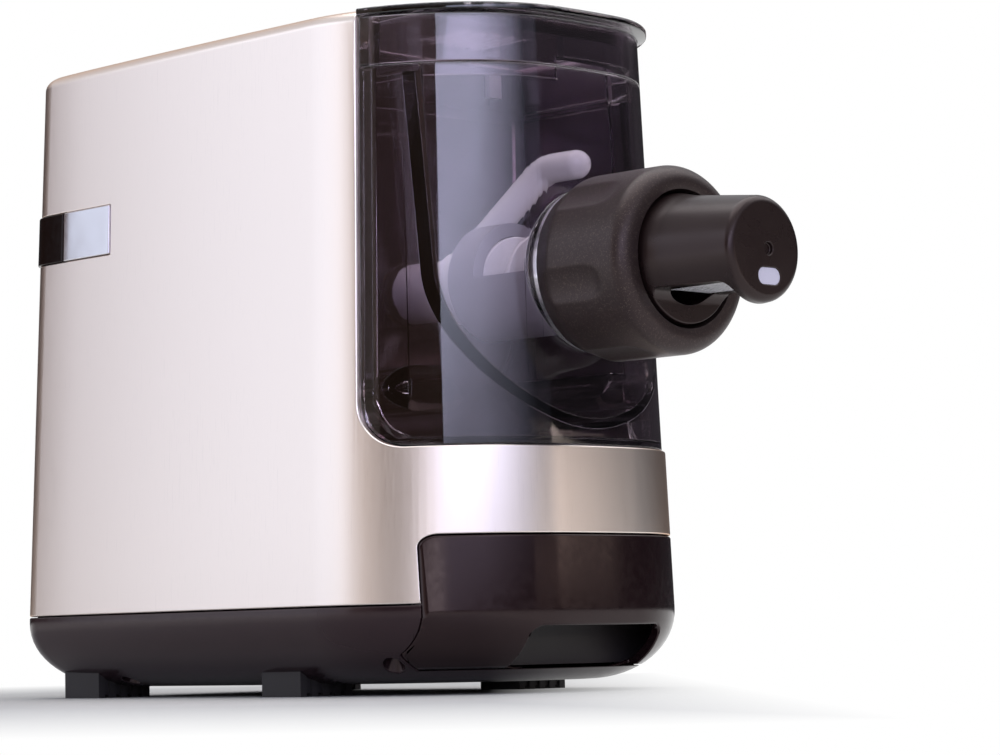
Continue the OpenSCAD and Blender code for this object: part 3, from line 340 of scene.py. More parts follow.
def plan_x(y):
    """Half the body's width at a depth y, on the outline without its draft."""
    dy = max(0.0, FRONT_R - y)
    return ((HALF_W - FRONT_R + math.sqrt(FRONT_R**2 - dy**2))
            * (1 + SIDE_CROWN/HALF_W*(1 - ((y - MID_Y)/MID_Y)**2)))


def wall_x(y, z, inset):
    """The same on a wall moved in by inset, at a height z."""
    i = inset + lean(z)
    return plan_x(MID_Y + (y - MID_Y)/(1 - i/MID_Y))*(1 - i/HALF_W)


def cheek_outline(inset):
    """The chamber's section between the cheeks, in x and z."""
    edge = []
    for a in range(-75, 1, 15):
        y = CHEEK_Y - CHEEK_R*(1 - math.cos(math.radians(a)))
        z = BAND_Z + CHEEK_R*(1 + math.sin(math.radians(a)))
        edge.append((wall_x(y, z, inset), z))
    edge += [(wall_x(CHEEK_Y + 1, z, inset), z) for z in (BODY_H - 14, BODY_H + 2)]
    edge = [(edge[0][0], BAND_Z - 3)] + edge
    return edge + [(-x, z) for x, z in reversed(edge)]


def chamber_space(name, front_in, rear_in, low, high, back, lip=()):
    """The space from low to high behind the front walls (front_in) and, further back, between the cheeks."""
    front = common(loft(name, [level(low - 5, front_in), *(lip or [level(high, front_in)])]),
                   front_opening("o", front_in - STEP + GAP))
    rear = common(loft("rear", [level(low - 5, rear_in), level(high, rear_in)]),
                  along_y("p", cheek_outline(rear_in), -60, back))
    return common(join(front, rear), block("f", (-BODY_W, -60, low), (BODY_W, BODY_D, high + 1)))


# ---------------------------------------------------------------- materials

def base_material(name, color, rough, metal=0.0, **more):
    mat = bpy.data.materials.new(name)
    mat.use_nodes = True
    nt = mat.node_tree
    b = nt.nodes["Principled BSDF"]
    b.inputs["Base Color"].default_value = (*color, 1)
    b.inputs["Roughness"].default_value = rough
    b.inputs["Metallic"].default_value = metal
    for key, value in more.items():
        b.inputs[key.replace("_", " ")].default_value = value
    return mat, nt, b


def node(nt, kind, **values):
    """A new node; values are its own settings or, by name, its inputs."""
    n = nt.nodes.new(kind)
    for key, value in values.items():
        if hasattr(n, key):
            setattr(n, key, value)
        else:
            n.inputs[key.replace("_", " ")].default_value = value
    return n


def calc(nt, operation, *values, vector=False):
    """A maths node on sockets or plain numbers."""
    n = node(nt, "ShaderNodeVectorMath" if vector else "ShaderNodeMath", operation=operation)
    for socket, value in zip(n.inputs, values):
        if isinstance(value, bpy.types.NodeSocket):
            nt.links.new(value, socket)
        else:
            socket.default_value = value
    return n.outputs["Vector" if vector and operation not in ("LENGTH", "DOT_PRODUCT") else "Value"]


def separate(nt, vector):
    n = node(nt, "ShaderNodeSeparateXYZ")
    nt.links.new(vector, n.inputs["Vector"])
    return n.outputs


def blend(nt, fac, a, b):
    """A mix of the colour socket a and the plain colour b."""
    n = node(nt, "ShaderNodeMix", data_type="RGBA")
    nt.links.new(fac, n.inputs["Factor"])
    nt.links.new(a, n.inputs["A"])
    n.inputs["B"].default_value = (*b, 1)
    return n.outputs["Result"]


def layered(nt, fac, under, over):
    """A mix of two shaders."""
    n = node(nt, "ShaderNodeMixShader")
    for socket, value in zip(n.inputs, (fac, under, over)):
        nt.links.new(value, socket)
    return n.outputs["Shader"]


def coords(nt, scale=(1, 1, 1)):
    c = node(nt, "ShaderNodeTexCoord")
    m = node(nt, "ShaderNodeMapping", Scale=scale)
    nt.links.new(c.outputs["Object"], m.inputs["Vector"])
    return m.outputs["Vector"]


def noise(nt, vector, scale, detail):
    n = node(nt, "ShaderNodeTexNoise", Scale=scale, Detail=detail, Roughness=0.55)
    nt.links.new(vector, n.inputs["Vector"])
    return n.outputs["Fac"]


def ramp(nt, fac, low, high, a, b, clamp=True):
    """Maps fac from low..high to a..b, numbers or colours."""
    if isinstance(a, (int, float)):
        m = node(nt, "ShaderNodeMapRange", clamp=clamp, From_Min=low, From_Max=high, To_Min=a, To_Max=b)
        nt.links.new(fac, m.inputs["Value"])
        return m.outputs["Result"]
    r = node(nt, "ShaderNodeValToRGB")
    for element, position, color in zip(r.color_ramp.elements, (low, high), (a, b)):
        element.position = position
        element.color = (*color, 1)
    nt.links.new(fac, r.inputs["Fac"])
    return r.outputs["Color"]


def drive(nt, b, socket, fac, low, high):
    """Lets a noise drive a shader input, over the middle of the noise's range."""
    nt.links.new(ramp(nt, fac, 0.3, 0.7, low, high), b.inputs[socket])


def bump(nt, b, height, strength, distance):
    n = node(nt, "ShaderNodeBump", Strength=strength, Distance=distance)
    nt.links.new(height, n.inputs["Height"])
    nt.links.new(n.outputs["Normal"], b.inputs["Normal"])


def shade(c, k):
    return tuple(max(0.0, min(1.0, v*k)) for v in c)


def brushed(name, color, rough, direction, edge):
    """Metallic finish, finely brushed along one direction (0, 1 or 2), tinted by edge at grazing angles."""
    grain = 3600.0
    mat, nt, b = base_material(name, color, rough, 1.0, Specular_Tint=(*edge, 1))
    stretch = [1.0, 1.0, 1.0]
    stretch[direction] = 0.01
    v = coords(nt, stretch)
    lines = calc(nt, "ADD", noise(nt, v, grain, 2.0), noise(nt, v, grain*0.45, 2.0))
    clouded = calc(nt, "MULTIPLY_ADD", noise(nt, coords(nt), 9.0, 2.0), 0.35, lines)
    nt.links.new(ramp(nt, clouded, 0.85, 1.0, shade(color, 0.975), shade(color, 1.025)), b.inputs["Base Color"])
    nt.links.new(ramp(nt, lines, 0.7, 1.3, rough - 0.02, rough + 0.03), b.inputs["Roughness"])
    bump(nt, b, lines, 0.05, 0.00003)
    return mat


def moulded(name, color, rough, grain=900.0, depth=0.25, coat=0.0, vary=0.06, **more):
    """Moulded plastic or rubber with a fine spark grain."""
    mat, nt, b = base_material(name, color, rough, Coat_Weight=coat, **more)
    v = coords(nt)
    w = noise(nt, v, 35.0, 3.0)
    drive(nt, b, "Base Color", w, shade(color, 1 - vary), shade(color, 1 + vary))
    drive(nt, b, "Roughness", w, rough - 0.04, rough + 0.05)
    bump(nt, b, noise(nt, v, grain, 3.0), depth, 0.0001)
    return mat


# Tint of the reflections in the warm dark plastics
WARM = (1.0, 0.80, 0.80)


def gloss(name, color, rough, coat=0.6, level=0.5):
    """Polished plastic: nearly smooth, with the slightest waviness and faint handling marks."""
    mat, nt, b = base_material(name, color, rough, Coat_Weight=coat, Coat_Roughness=0.04, Specular_IOR_Level=level,
                               Specular_Tint=(*WARM, 1))
    v = coords(nt)
    w = noise(nt, v, 22.0, 4.0)
    drive(nt, b, "Base Color", w, shade(color, 0.92), shade(color, 1.08))
    drive(nt, b, "Roughness", noise(nt, v, 260.0, 2.0), rough - 0.03, rough + 0.04)
    bump(nt, b, w, 0.04, 0.0004)
    return mat


def metal(name, color, rough, grain=1200.0, depth=0.08):
    mat, nt, b = base_material(name, color, rough, 1.0)
    v = coords(nt)
    w = noise(nt, v, 60.0, 4.0)
    drive(nt, b, "Base Color", w, shade(color, 0.95), shade(color, 1.05))
    drive(nt, b, "Roughness", w, rough - 0.05, rough + 0.06)
    if depth > 0:
        bump(nt, b, noise(nt, v, grain, 2.0), depth, 0.00008)
    return mat


def smoked(name, tint, deep):
    """Clear smoked plastic that lets lamp and diffuse light through, deeper in the thick guide sleeves."""
    mat, nt, b = base_material(name, tint, 0.03, IOR=1.52, Transmission_Weight=1.0, Coat_Weight=0.15,
                               Coat_Roughness=0.02)
    w = noise(nt, coords(nt), 18.0, 3.0)
    x, y, z = separate(nt, coords(nt))
    around = node(nt, "ShaderNodeCombineXYZ")
    for socket, value, middle, half in (("X", calc(nt, "ABSOLUTE", x), POST_X, SLEEVE_W/2),
                                        ("Y", z, POST_Z, SLEEVE_H/2)):
        nt.links.new(ramp(nt, value, middle*MM, (middle + half)*MM, 0.0, 1.0, clamp=False), around.inputs[socket])
    reach = calc(nt, "LENGTH", around.outputs["Vector"], vector=True)
    start = (SLEEVE_Y + FRONT_Y - 0.6)*MM
    thick = calc(nt, "MULTIPLY", ramp(nt, reach, 1.06, 1.10, 1.0, 0.0), ramp(nt, y, start, start + 0.0002, 0.0, 1.0))
    thin = ramp(nt, w, 0.3, 0.7, shade(tint, 0.96), shade(tint, 1.04))
    nt.links.new(blend(nt, thick, thin, deep), b.inputs["Base Color"])
    drive(nt, b, "Roughness", w, 0.018, 0.045)
    bump(nt, b, w, 0.03, 0.0006)
    clear = node(nt, "ShaderNodeBsdfTransparent", Color=(0.97, 0.95, 0.97, 1))
    path = node(nt, "ShaderNodeLightPath").outputs
    through = calc(nt, "MAXIMUM", path["Is Shadow Ray"], path["Is Diffuse Ray"])
    nt.links.new(layered(nt, through, b.outputs["BSDF"], clear.outputs["BSDF"]),
                 nt.nodes["Material Output"].inputs["Surface"])
    return mat


def flecked(name, color):
    """Dark plastic with a spark texture and fine bronze flecks."""
    rough = 0.38
    mat, nt, b = base_material(name, color, rough, Specular_IOR_Level=0.42, Specular_Tint=(*WARM, 1))
    v = coords(nt)
    cells = node(nt, "ShaderNodeTexVoronoi", Scale=2100.0)
    nt.links.new(v, cells.inputs["Vector"])
    fleck = calc(nt, "MULTIPLY", ramp(nt, cells.outputs["Distance"], 0.20, 0.42, 1.0, 0.0),
                 ramp(nt, noise(nt, v, 900.0, 2.0), 0.46, 0.62, 0.0, 1.0))
    plain = ramp(nt, noise(nt, v, 30.0, 3.0), 0.3, 0.7, shade(color, 0.9), shade(color, 1.12))
    nt.links.new(blend(nt, fleck, plain, (0.12, 0.090, 0.078)), b.inputs["Base Color"])
    nt.links.new(calc(nt, "MULTIPLY", fleck, 0.5), b.inputs["Metallic"])
    nt.links.new(ramp(nt, fleck, 0.0, 1.0, rough, 0.30), b.inputs["Roughness"])
    bump(nt, b, noise(nt, v, 1500.0, 2.0), 0.4, 0.00014)
    return mat


def milky(name, color):
    """Translucent moulded plastic."""
    mat, nt, b = base_material(name, color, 0.35, Transmission_Weight=0.35, IOR=1.45)
    drive(nt, b, "Roughness", noise(nt, coords(nt), 40.0, 3.0), 0.30, 0.41)
    return mat


CHAMPAGNE = (0.82, 0.745, 0.705)
MATS = {
    "champagne": brushed("champagne", CHAMPAGNE, 0.30, 2, (0.80, 0.56, 0.40)),
    "base_gloss": gloss("base_gloss", (0.018, 0.010, 0.013), 0.18, 0.0, level=0.42),
    "drawer_gloss": gloss("drawer_gloss", (0.010, 0.004, 0.005), 0.16, 0.0, level=0.42),
    "foot_rubber": moulded("foot_rubber", (0.022, 0.019, 0.021), 0.7, 700.0, 0.5),
    "steel": metal("steel", (0.56, 0.56, 0.58), 0.3),
    "chrome": metal("chrome", (0.62, 0.62, 0.67), 0.12, depth=0.0),
    "band_black": gloss("band_black", (0.006, 0.003, 0.003), 0.12, 0.0, level=0.12),
    "frame_plastic": moulded("frame_plastic", (0.016, 0.013, 0.015), 0.5),
    "tray_plastic": moulded("tray_plastic", (0.026, 0.021, 0.023), 0.5),
    "panel_gloss": gloss("panel_gloss", (0.010, 0.010, 0.012), 0.1),
    "window_clear": gloss("window_clear", (0.012, 0.014, 0.022), 0.05, 1.0),
    "button_satin": moulded("button_satin", (0.55, 0.50, 0.47), 0.35, 900.0, 0.12),
    "board_green": moulded("board_green", (0.012, 0.10, 0.035), 0.4, 400.0, 0.1),
    "component_black": moulded("component_black", (0.012, 0.011, 0.013), 0.45),
    "aluminium": metal("aluminium", (0.68, 0.69, 0.71), 0.38, 700.0, 0.2),
    "bronze": metal("bronze", (0.52, 0.36, 0.18), 0.4, 900.0, 0.2),
    "gear_nylon": moulded("gear_nylon", (0.74, 0.71, 0.60), 0.45, 500.0, 0.1),
    "pinion_brass": metal("pinion_brass", (0.68, 0.48, 0.20), 0.28),
    "motor_steel": metal("motor_steel", (0.30, 0.30, 0.32), 0.35),
    "rotor_copper": metal("rotor_copper", (0.62, 0.30, 0.16), 0.35),
    "smoked_clear": smoked("smoked_clear", (0.70, 0.63, 0.69), (0.15, 0.10, 0.12)),
    "white_plastic": moulded("white_plastic", (0.86, 0.85, 0.88), 0.28, 800.0, 0.06, coat=0.3, vary=0.02),
    "barrel_grey": milky("barrel_grey", (0.42, 0.41, 0.47)),
    "seal_rubber": moulded("seal_rubber", (0.035, 0.026, 0.026), 0.55, 500.0, 0.15),
    "nut_brown": flecked("nut_brown", (0.017, 0.011, 0.011)),
    "tube_brown": moulded("tube_brown", (0.011, 0.006, 0.006), 0.28, 1100.0, 0.14, Specular_IOR_Level=0.40,
                          Specular_Tint=(*WARM, 1)),
    "pale_insert": moulded("pale_insert", (0.62, 0.60, 0.72), 0.3, 700.0, 0.08, vary=0.03),
}
for sub in frame["record"]["subparts"]:
    mesh = nodes[sub["node"]].data
    mesh.materials.clear()
    mesh.materials.append(MATS[sub["material_slot"]])


def finish_piece(obj, body, slot_name, *replaced):
    """Gives a piece its material, its body and the solids it stands for."""
    obj.data.materials.clear()
    obj.data.materials.append(MATS[slot_name])
    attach(obj, body)
    if replaced:
        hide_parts(*replaced)


# ---------------------------------------------------------------- shell and bands

def hollow_levels(low, high):
    return [level(low, SHELL_T), level(BODY_H - 14, SHELL_T), level(BODY_H - 5, SHELL_T + RIM_T),
            level(high, SHELL_T + RIM_T)]


def make_shell():
    shell = loft("shell_cover", high_levels(SHELL_Z, 0))
    hollow = loft("h", hollow_levels(SHELL_Z - 5, BODY_H + 1))
    cut(hollow, block("t", (-BODY_W, CHAMBER_D + GAP, BODY_H - 3), (BODY_W, BODY_D + 20, BODY_H + 3)))
    cut(shell, hollow, front_opening("o"))
    cut(shell, along_y("d", round_rect(DRAWER_W + 2*GAP, 60, DRAWER_R + GAP, 0, DRAWER_TOP + GAP - 30), -60,
                       OPENING_Y + GAP))
    cut(shell, along_z("s", round_rect(PANEL_W + 2*GAP, PANEL_D + 2*GAP, 6 + GAP, 0, PANEL_Y), BODY_H - 2, BODY_H + 5),
        along_z("s", round_rect(PANEL_W - 6, PANEL_D - 6, 4, 0, PANEL_Y), BODY_H - 10, BODY_H + 1))
    groove = loft("g", [level(BAND_LOW, -2), level(BAND_LOW + BAND_H, -2)])
    cut(groove, loft("i", [level(BAND_LOW - 1, 1.2), level(BAND_LOW + BAND_H + 1, 1.2)]))
    common(groove, block("k", (-BODY_W, BODY_D - BAND_L, 0), (BODY_W, BODY_D + 20, BODY_H)))
    cut(shell, groove)
    cut(shell, block("q", (INLET_X - INLET_W/2 - GAP, BODY_D - 40, INLET_Z - INLET_H/2 - GAP),
                     (INLET_X + INLET_W/2 + GAP, BODY_D + 20, INLET_Z + INLET_H/2 + GAP)))
    rounded(shell, 0.7, 2)
    finish_piece(shell, "body", "champagne", "outer_shell")


def rear_ring(name, y0, y1, d):
    ring = loft(name, [level(BAND_LOW + d, -0.8), level(BAND_LOW + BAND_H - d, -0.8)])
    cut(ring, loft("i", [level(BAND_LOW - 1, 1.15), level(BAND_LOW + BAND_H + 1, 1.15)]))
    common(ring, block("k", (-BODY_W, y0, 0), (BODY_W, y1, BODY_H)))
    return rounded(ring, 0.5, 3)


make_shell()
INSERT_Y = BODY_D - BAND_L + INSERT_L
finish_piece(rear_ring("rear_band_cover", INSERT_Y + 0.3, BODY_D + 20, 0.2), "body", "band_black", "rear_band")
finish_piece(rear_ring("band_insert_cover", BODY_D - BAND_L + 0.2, INSERT_Y, 0.2), "body", "chrome", "band_inserts")


# ---------------------------------------------------------------- base and drawer

def columns(top):
    return [along_z("c", circle(7, sx*SCREW_X, y, 48), 0, top) for sx in (-1, 1) for y in SCREW_YS]


def make_base():
    tub = loft("base_cover", low_levels(0, SHELL_Z - GAP))
    cut(tub, cut(loft("h", low_levels(BASE_T, SHELL_Z + 4)), *columns(SHELL_Z + 10)))
    tongue = loft("t", [level(SHELL_Z - 4, SHELL_T + 0.3), level(SHELL_Z + 3, SHELL_T + 0.3)])
    cut(tongue, cut(loft("u", [level(SHELL_Z - 5, SHELL_T + 2), level(SHELL_Z + 4, SHELL_T + 2)]),
                    *columns(SHELL_Z + 10)))
    join(tub, tongue)
    cut(tub, block("o", (-DRAWER_W/2 - GAP, -60, DRAWER_LOW - GAP), (DRAWER_W/2 + GAP, OPENING_Y + GAP, SHELL_Z + 10)),
        block("o", (-TRAY_X - 0.4, OPENING_Y - 4, DRAWER_LOW + 0.6), (TRAY_X + 0.4, CHAMBER_D, SHELL_Z + 10)))
    for s in (-1, 1):
        for y in SCREW_YS:
            cut(tub, along_z("b", circle(4.6, s*SCREW_X, y, 48), BASE_Z - 1, BASE_Z + 16),
                along_z("b", circle(2.1, s*SCREW_X, y, 24), BASE_Z, BASE_Z + 50))
    for i in range(-4, 5):
        cut(tub, block("a", (i*9 - 2, BODY_D - 68, BASE_Z - 1), (i*9 + 2, BODY_D - 38, BASE_Z + BASE_T + 1)))
    rounded(tub, 0.6, 2)
    finish_piece(tub, "body", "base_gloss", "base_tub")


def make_drawer_front():
    front = loft("drawer_cover", low_levels(0, DRAWER_TOP + 20))
    cut(front, loft("h", low_levels(DRAWER_T, DRAWER_TOP + 20)))
    common(front, along_y("e", round_rect(DRAWER_W, 60, DRAWER_R, 0, DRAWER_TOP - 30), -46, OPENING_Y),
           block("k", (-DRAWER_W, -60, DRAWER_LOW), (DRAWER_W, OPENING_Y, DRAWER_TOP)))
    cut(front, along_y("n", round_rect(NOTCH_W, 60, 6, 0, DRAWER_LOW + NOTCH_H - 30), -48, 12))
    rounded(front, 0.9, 3)
    finish_piece(front, "drawer", "drawer_gloss", "drawer_front")


make_base()
make_drawer_front()


# ---------------------------------------------------------------- mixing chamber and lid

def bowl_outline(r, rim):
    """A round trough whose sides flare a little towards the rim."""
    return arc(0, AXIS_Z, r, 180, 60, 180) + [(r + BOWL_FLARE, rim), (-r - BOWL_FLARE, rim)]


def make_chamber():
    shell = chamber_space("chamber_cover", STEP, CHEEK_IN, CHAMBER_Z, CHAMBER_TOP, CHAMBER_D)
    cut(shell, chamber_space("i", STEP + CHAMBER_T, CHEEK_IN + CHAMBER_T, CHAMBER_Z + CHAMBER_T, CHAMBER_TOP + 1,
                             CHAMBER_D - CHAMBER_T))
    bowl = along_y("b", bowl_outline(BOWL_R + BOWL_T, CHAMBER_TOP - 3.5), -40, CHAMBER_D - 1)
    for s in (-1, 1):
        join(bowl, along_y("v", oval(SLEEVE_W, SLEEVE_H, s*POST_X, POST_Z), SLEEVE_Y, CHAMBER_D - 1))
    common(bowl, chamber_space("s", STEP + 1, CHEEK_IN + 1, CHAMBER_Z + 1, CHAMBER_TOP - 3.5, CHAMBER_D - 1))
    join(shell, bowl, rod("n", NUT_R - 5.2, NECK_Y, -2))
    inner = along_y("w", bowl_outline(BOWL_R, CHAMBER_TOP + 3), -40, CHAMBER_D - CHAMBER_T)
    common(inner, loft("x", [level(CHAMBER_Z, BOWL_IN), level(CHAMBER_TOP + 4, BOWL_IN)]))
    cut(shell, inner, rod("r", BARREL_OUT + 0.05, NECK_Y - 1, 20),
        rod("r", 15, CHAMBER_D - CHAMBER_T - 1, CHAMBER_D + 1))
    for s in (-1, 1):
        cut(shell, along_y("v", oval(SLEEVE_W - 2*SLEEVE_T, SLEEVE_H - 2*SLEEVE_T, s*POST_X, POST_Z),
                           SLEEVE_Y - 1, CHAMBER_D + 1))
    rounded(shell, 0.5, 2)
    finish_piece(shell, "chamber", "smoked_clear", "mixing_chamber")


LID_Z = CHAMBER_TOP + 0.4
SKIRT_IN, SKIRT_T = BOWL_IN + 0.6, 1.8
SKIRT_HALF, SKIRT_BACK = BOWL_R + BOWL_FLARE - 0.8, CHAMBER_D - CHAMBER_T - 0.6


def skirt_space(name, d, low, high):
    return common(loft(name, [level(low, SKIRT_IN + d), level(high, SKIRT_IN + d)]),
                  block("k", (d - SKIRT_HALF, -60, low - 1), (SKIRT_HALF - d, SKIRT_BACK - d, high + 1)))


def make_lid():
    lip = [level(BODY_H - LID_T - 1, STEP), level(BODY_H - LID_T, STEP, LID_LIP), level(BODY_H - 0.8, STEP, LID_LIP),
           level(BODY_H, STEP, LID_LIP - 0.8)]
    lid = chamber_space("lid_cover", STEP, CHEEK_IN + RIM_T, LID_Z, BODY_H, CHAMBER_D, lip)
    cut(lid, chamber_space("i", STEP + LID_WALL, CHEEK_IN + RIM_T + LID_WALL, LID_Z - 1, BODY_H - LID_T,
                           CHAMBER_D - LID_WALL))
    skirt = skirt_space("s", 0, CHAMBER_TOP - 5.5, BODY_H - LID_T + 0.5)
    cut(skirt, skirt_space("t", SKIRT_T, CHAMBER_TOP - 6.5, BODY_H), block("q", (-11.5, -60, CHAMBER_TOP - 8),
                                                                           (BODY_W, 40, CHAMBER_TOP + 5)))
    join(lid, skirt)
    for i in range(-2, 3):
        cut(lid, along_z("w", [(x + i*9, y + 62) for y, x in oval(34, 4)], BODY_H - LID_T - 1, BODY_H + 2))
    rounded(lid, 0.5, 2)
    finish_piece(lid, "lid", "smoked_clear", "lid")


make_chamber()
make_lid()


# ---------------------------------------------------------------- extrusion head

def grip_depth(radius, reach, angle):
    """Radius of the nut's side where a shallow grip hollows it, fading out towards the face."""
    turn = math.radians((angle - GRIP_TURN + 180/NUT_GRIPS) % (360/NUT_GRIPS) - 180/NUT_GRIPS)
    across = GRIP_MIDDLE*math.sin(turn)
    if abs(across) > GRIP_R - 0.1:
        return radius
    hollow = GRIP_MIDDLE*math.cos(turn) - math.sqrt(GRIP_R**2 - across**2)
    hollow += 2.2*max(0.0, (reach - GRIP_FACE)/11)**2
    h = max(0.0, min(1.0, 0.5 + 0.5*(hollow - radius)/GRIP_BLEND))
    return hollow*(1 - h) + radius*h - GRIP_BLEND*h*(1 - h)


def make_nut():
    back, low = NUT_REACH - NUT_L, 2 + 0.4 - NECK_Y
    bore = TUBE_R + TUBE_FLARE + 2.4
    profile = [(SPIGOT_R + 0.35, low), (NUT_R - 4.3, low), (NUT_R - 4, low + 0.3), (NUT_R - 0.9, back - 2.5),
               (NUT_R - 0.15, back - 0.6), (NUT_R, back + 0.5)]
    profile += [(NUT_R, back + 2*k) for k in range(1, 18)]
    profile += [(NUT_R - NUT_EDGE + NUT_EDGE*math.cos(math.radians(a)),
                 NUT_REACH - NUT_EDGE + NUT_EDGE*math.sin(math.radians(a))) for a in range(0, 91, 6)]
    profile += [(bore + 1.6, NUT_REACH), (bore + 1.3, NUT_REACH - 0.1), (bore + 1.1, NUT_REACH - 0.5),
                (bore, NUT_REACH - 6), (bore, FLANGE + 0.4), (SPIGOT_R + 0.35, FLANGE + 0.4)]
    nut = lathe("nut_cover", [(r, -y) for r, y in profile], 288)
    for v in nut.data.vertices:
        x, y, z = v.co.x/MM, v.co.y/MM - FRONT_Y, v.co.z/MM - AXIS_Z
        r = math.hypot(x, z)
        if r > NUT_R - 3:
            k = grip_depth(r, -y, math.degrees(math.atan2(z, x)))/r
            v.co.x, v.co.z = x*k*MM, (z*k + AXIS_Z)*MM
    sharpen(nut.data, 32)
    finish_piece(nut, "nut", "nut_brown", "lock_nut")


def make_tube():
    root = TUBE_R + TUBE_FLARE
    profile = [(TUBE_R - TUBE_T, -SPIGOT_Y), (SPIGOT_R - 1.5, -SPIGOT_Y), (SPIGOT_R - 1.5, FLANGE), (root + 2, FLANGE),
               (root + 2, NUT_REACH - 1.5), (root + 1.5, NUT_REACH + 0.8), (root + 0.4, NUT_REACH + 5.2),
               (root - 0.1, NUT_REACH + 8.2)]
    profile += [(TUBE_R - 3.5 + 3.5*math.cos(math.radians(a)), REACH - 3.5 + 3.5*math.sin(math.radians(a)))
                for a in range(0, 91, 9)]
    profile += [(0.0, REACH), (0.0, REACH - 3), (TUBE_R - TUBE_T, REACH - 3)]
    tube = lathe("tube_cover", [(r, -y) for r, y in profile], 160)
    tidy(tube.data)
    flat = round_rect(DIE_L, 2*TUBE_R, 5, 6 - REACH + DIE_L/2, AXIS_Z - DIE_DROP - TUBE_R)
    cut(tube, along_x("d", flat, -1.5*TUBE_R, 1.5*TUBE_R),
        along_y("o", oval(13.6, 7.2, 2, AXIS_Z - 11.5), -REACH - 1, -REACH + 4),
        rod("c", 2.6, -REACH - 1, 1.8 - REACH, 2, AXIS_Z, 48))
    rounded(tube, 0.5, 2, 32)
    finish_piece(tube, "chamber", "tube_brown", "extrusion_tube")


def make_screw():
    """The screw's core and its helical flight."""
    start, end, t = SPIGOT_Y + 6, BARREL_END - 4, 3.0
    screw = lathe("screw_cover", [(0.0, start - 1), (SHAFT_R - 0.6, start - 1), (SHAFT_R, start - 0.4),
                                  (SHAFT_R, end + 3), (0.0, end + 3)], 64)
    around = 56
    n = around*SCREW_TURNS
    verts, faces = [], []
    for i in range(n + 1):
        a = 2*math.pi*i/around
        y = start + (end - start - t)*i/n
        for r, dy in ((SHAFT_R - 1, 0), (SHAFT_R - 1, t), (SCREW_R - 0.5, t - 0.4), (SCREW_R, t - 0.9),
                      (SCREW_R, 0.9), (SCREW_R - 0.5, 0.4)):
            verts.append((r*math.cos(a), y + dy, AXIS_Z + r*math.sin(a)))
    for i in range(n):
        for k in range(6):
            j = (k + 1) % 6
            faces.append([6*i + k, 6*i + j, 6*(i + 1) + j, 6*(i + 1) + k])
    faces += [[5, 4, 3, 2, 1, 0], [6*n + k for k in range(6)]]
    flight = solid("flight", verts, faces)
    join(screw, flight)
    corner = 7/math.cos(math.radians(30))
    tail = along_y("x", [(corner*math.cos(math.radians(60*k)), AXIS_Z + corner*math.sin(math.radians(60*k)))
                         for k in range(6)], end + 2, 89)
    join(screw, tail)
    sharpen(screw.data, 35)
    finish_piece(screw, "screw", "white_plastic", "extrusion_screw")


def bar_along(name, points, radii, n):
    """A tube along points, each with its own radius."""
    verts, faces = [], []
    pts = [Vector(p) for p in points]
    side = None
    for i, p in enumerate(pts):
        t = (pts[min(i + 1, len(pts) - 1)] - pts[max(i - 1, 0)]).normalized()
        if side is None:
            side = t.cross(Vector((0, 1, 0)))
            if side.length < 0.2:
                side = t.cross(Vector((1, 0, 0)))
        side = (side - t*side.dot(t)).normalized()
        other = t.cross(side)
        for k in range(n):
            a = 2*math.pi*k/n
            verts.append(tuple(p + side*(math.cos(a)*radii[i]) + other*(math.sin(a)*radii[i])))
    for i in range(len(pts) - 1):
        for k in range(n):
            faces.append([i*n + k, i*n + (k + 1) % n, (i + 1)*n + (k + 1) % n, (i + 1)*n + k])
    faces += [list(range(n))[::-1], [(len(pts) - 1)*n + k for k in range(n)]]
    return solid(name, verts, faces)


def make_paddle():
    s, c = math.sin(math.radians(PADDLE_ANGLE)), math.cos(math.radians(PADDLE_ANGLE))

    def at(radius, y):
        return (radius*s, y, AXIS_Z + radius*c)
    hub = lathe("paddle_cover", [(8.4, HUB_Y[0]), (COLLAR_R - 1, HUB_Y[0]), (COLLAR_R, HUB_Y[0] + 1),
                                 (COLLAR_R, COLLAR_Y - 1), (COLLAR_R - 1, COLLAR_Y), (HUB_R, COLLAR_Y),
                                 (HUB_R, HUB_Y[1] - 1), (HUB_R - 1, HUB_Y[1]), (8.4, HUB_Y[1])], 96)
    elbow = [at(PADDLE_R - r, y) for r, y in ((5.2, 45.2), (3.2, 43.4), (1.6, 41.4), (0.5, 39.0), (0.0, 36.4))]
    path = [at(7, 81.4), at(30, 63.0)] + elbow + [at(PADDLE_R, 22)]
    rb = PADDLE_BAR_R
    turns = [math.radians(a) for a in (15, 30, 45, 60, 75, 88)]
    ends = [Vector(path[-1]) + Vector((0, -rb*math.sin(a), 0)) for a in turns]
    radii = [rb]*len(path) + [rb*math.cos(a) for a in turns]
    join(hub, bar_along("arm", path + ends, radii, 40))
    rounded(hub, 0.4, 1, 45)
    finish_piece(hub, "screw", "white_plastic", "stirring_paddle")


make_nut()
make_tube()
make_screw()
make_paddle()

# Pieces shown as their own solids, with a fine rounding on their edges
for name in ("extrusion_barrel", "neck_ring", "lid_catch", "die_plate", "tube_insert", "foot_rear_left",
             "foot_rear_right", "foot_front_left", "foot_front_right", "control_panel", "display_window",
             "power_button", "start_button", "menu_button_left", "menu_button_right", "drawer_tray", "inner_frame",
             "power_inlet", "interlock_switch"):
    m = nodes[name].modifiers.new("r", "BEVEL")
    m.width = 0.0004
    m.segments = 2
    m.limit_method = "ANGLE"
    m.angle_limit = math.radians(40)


# ---------------------------------------------------------------- camera, light and stage

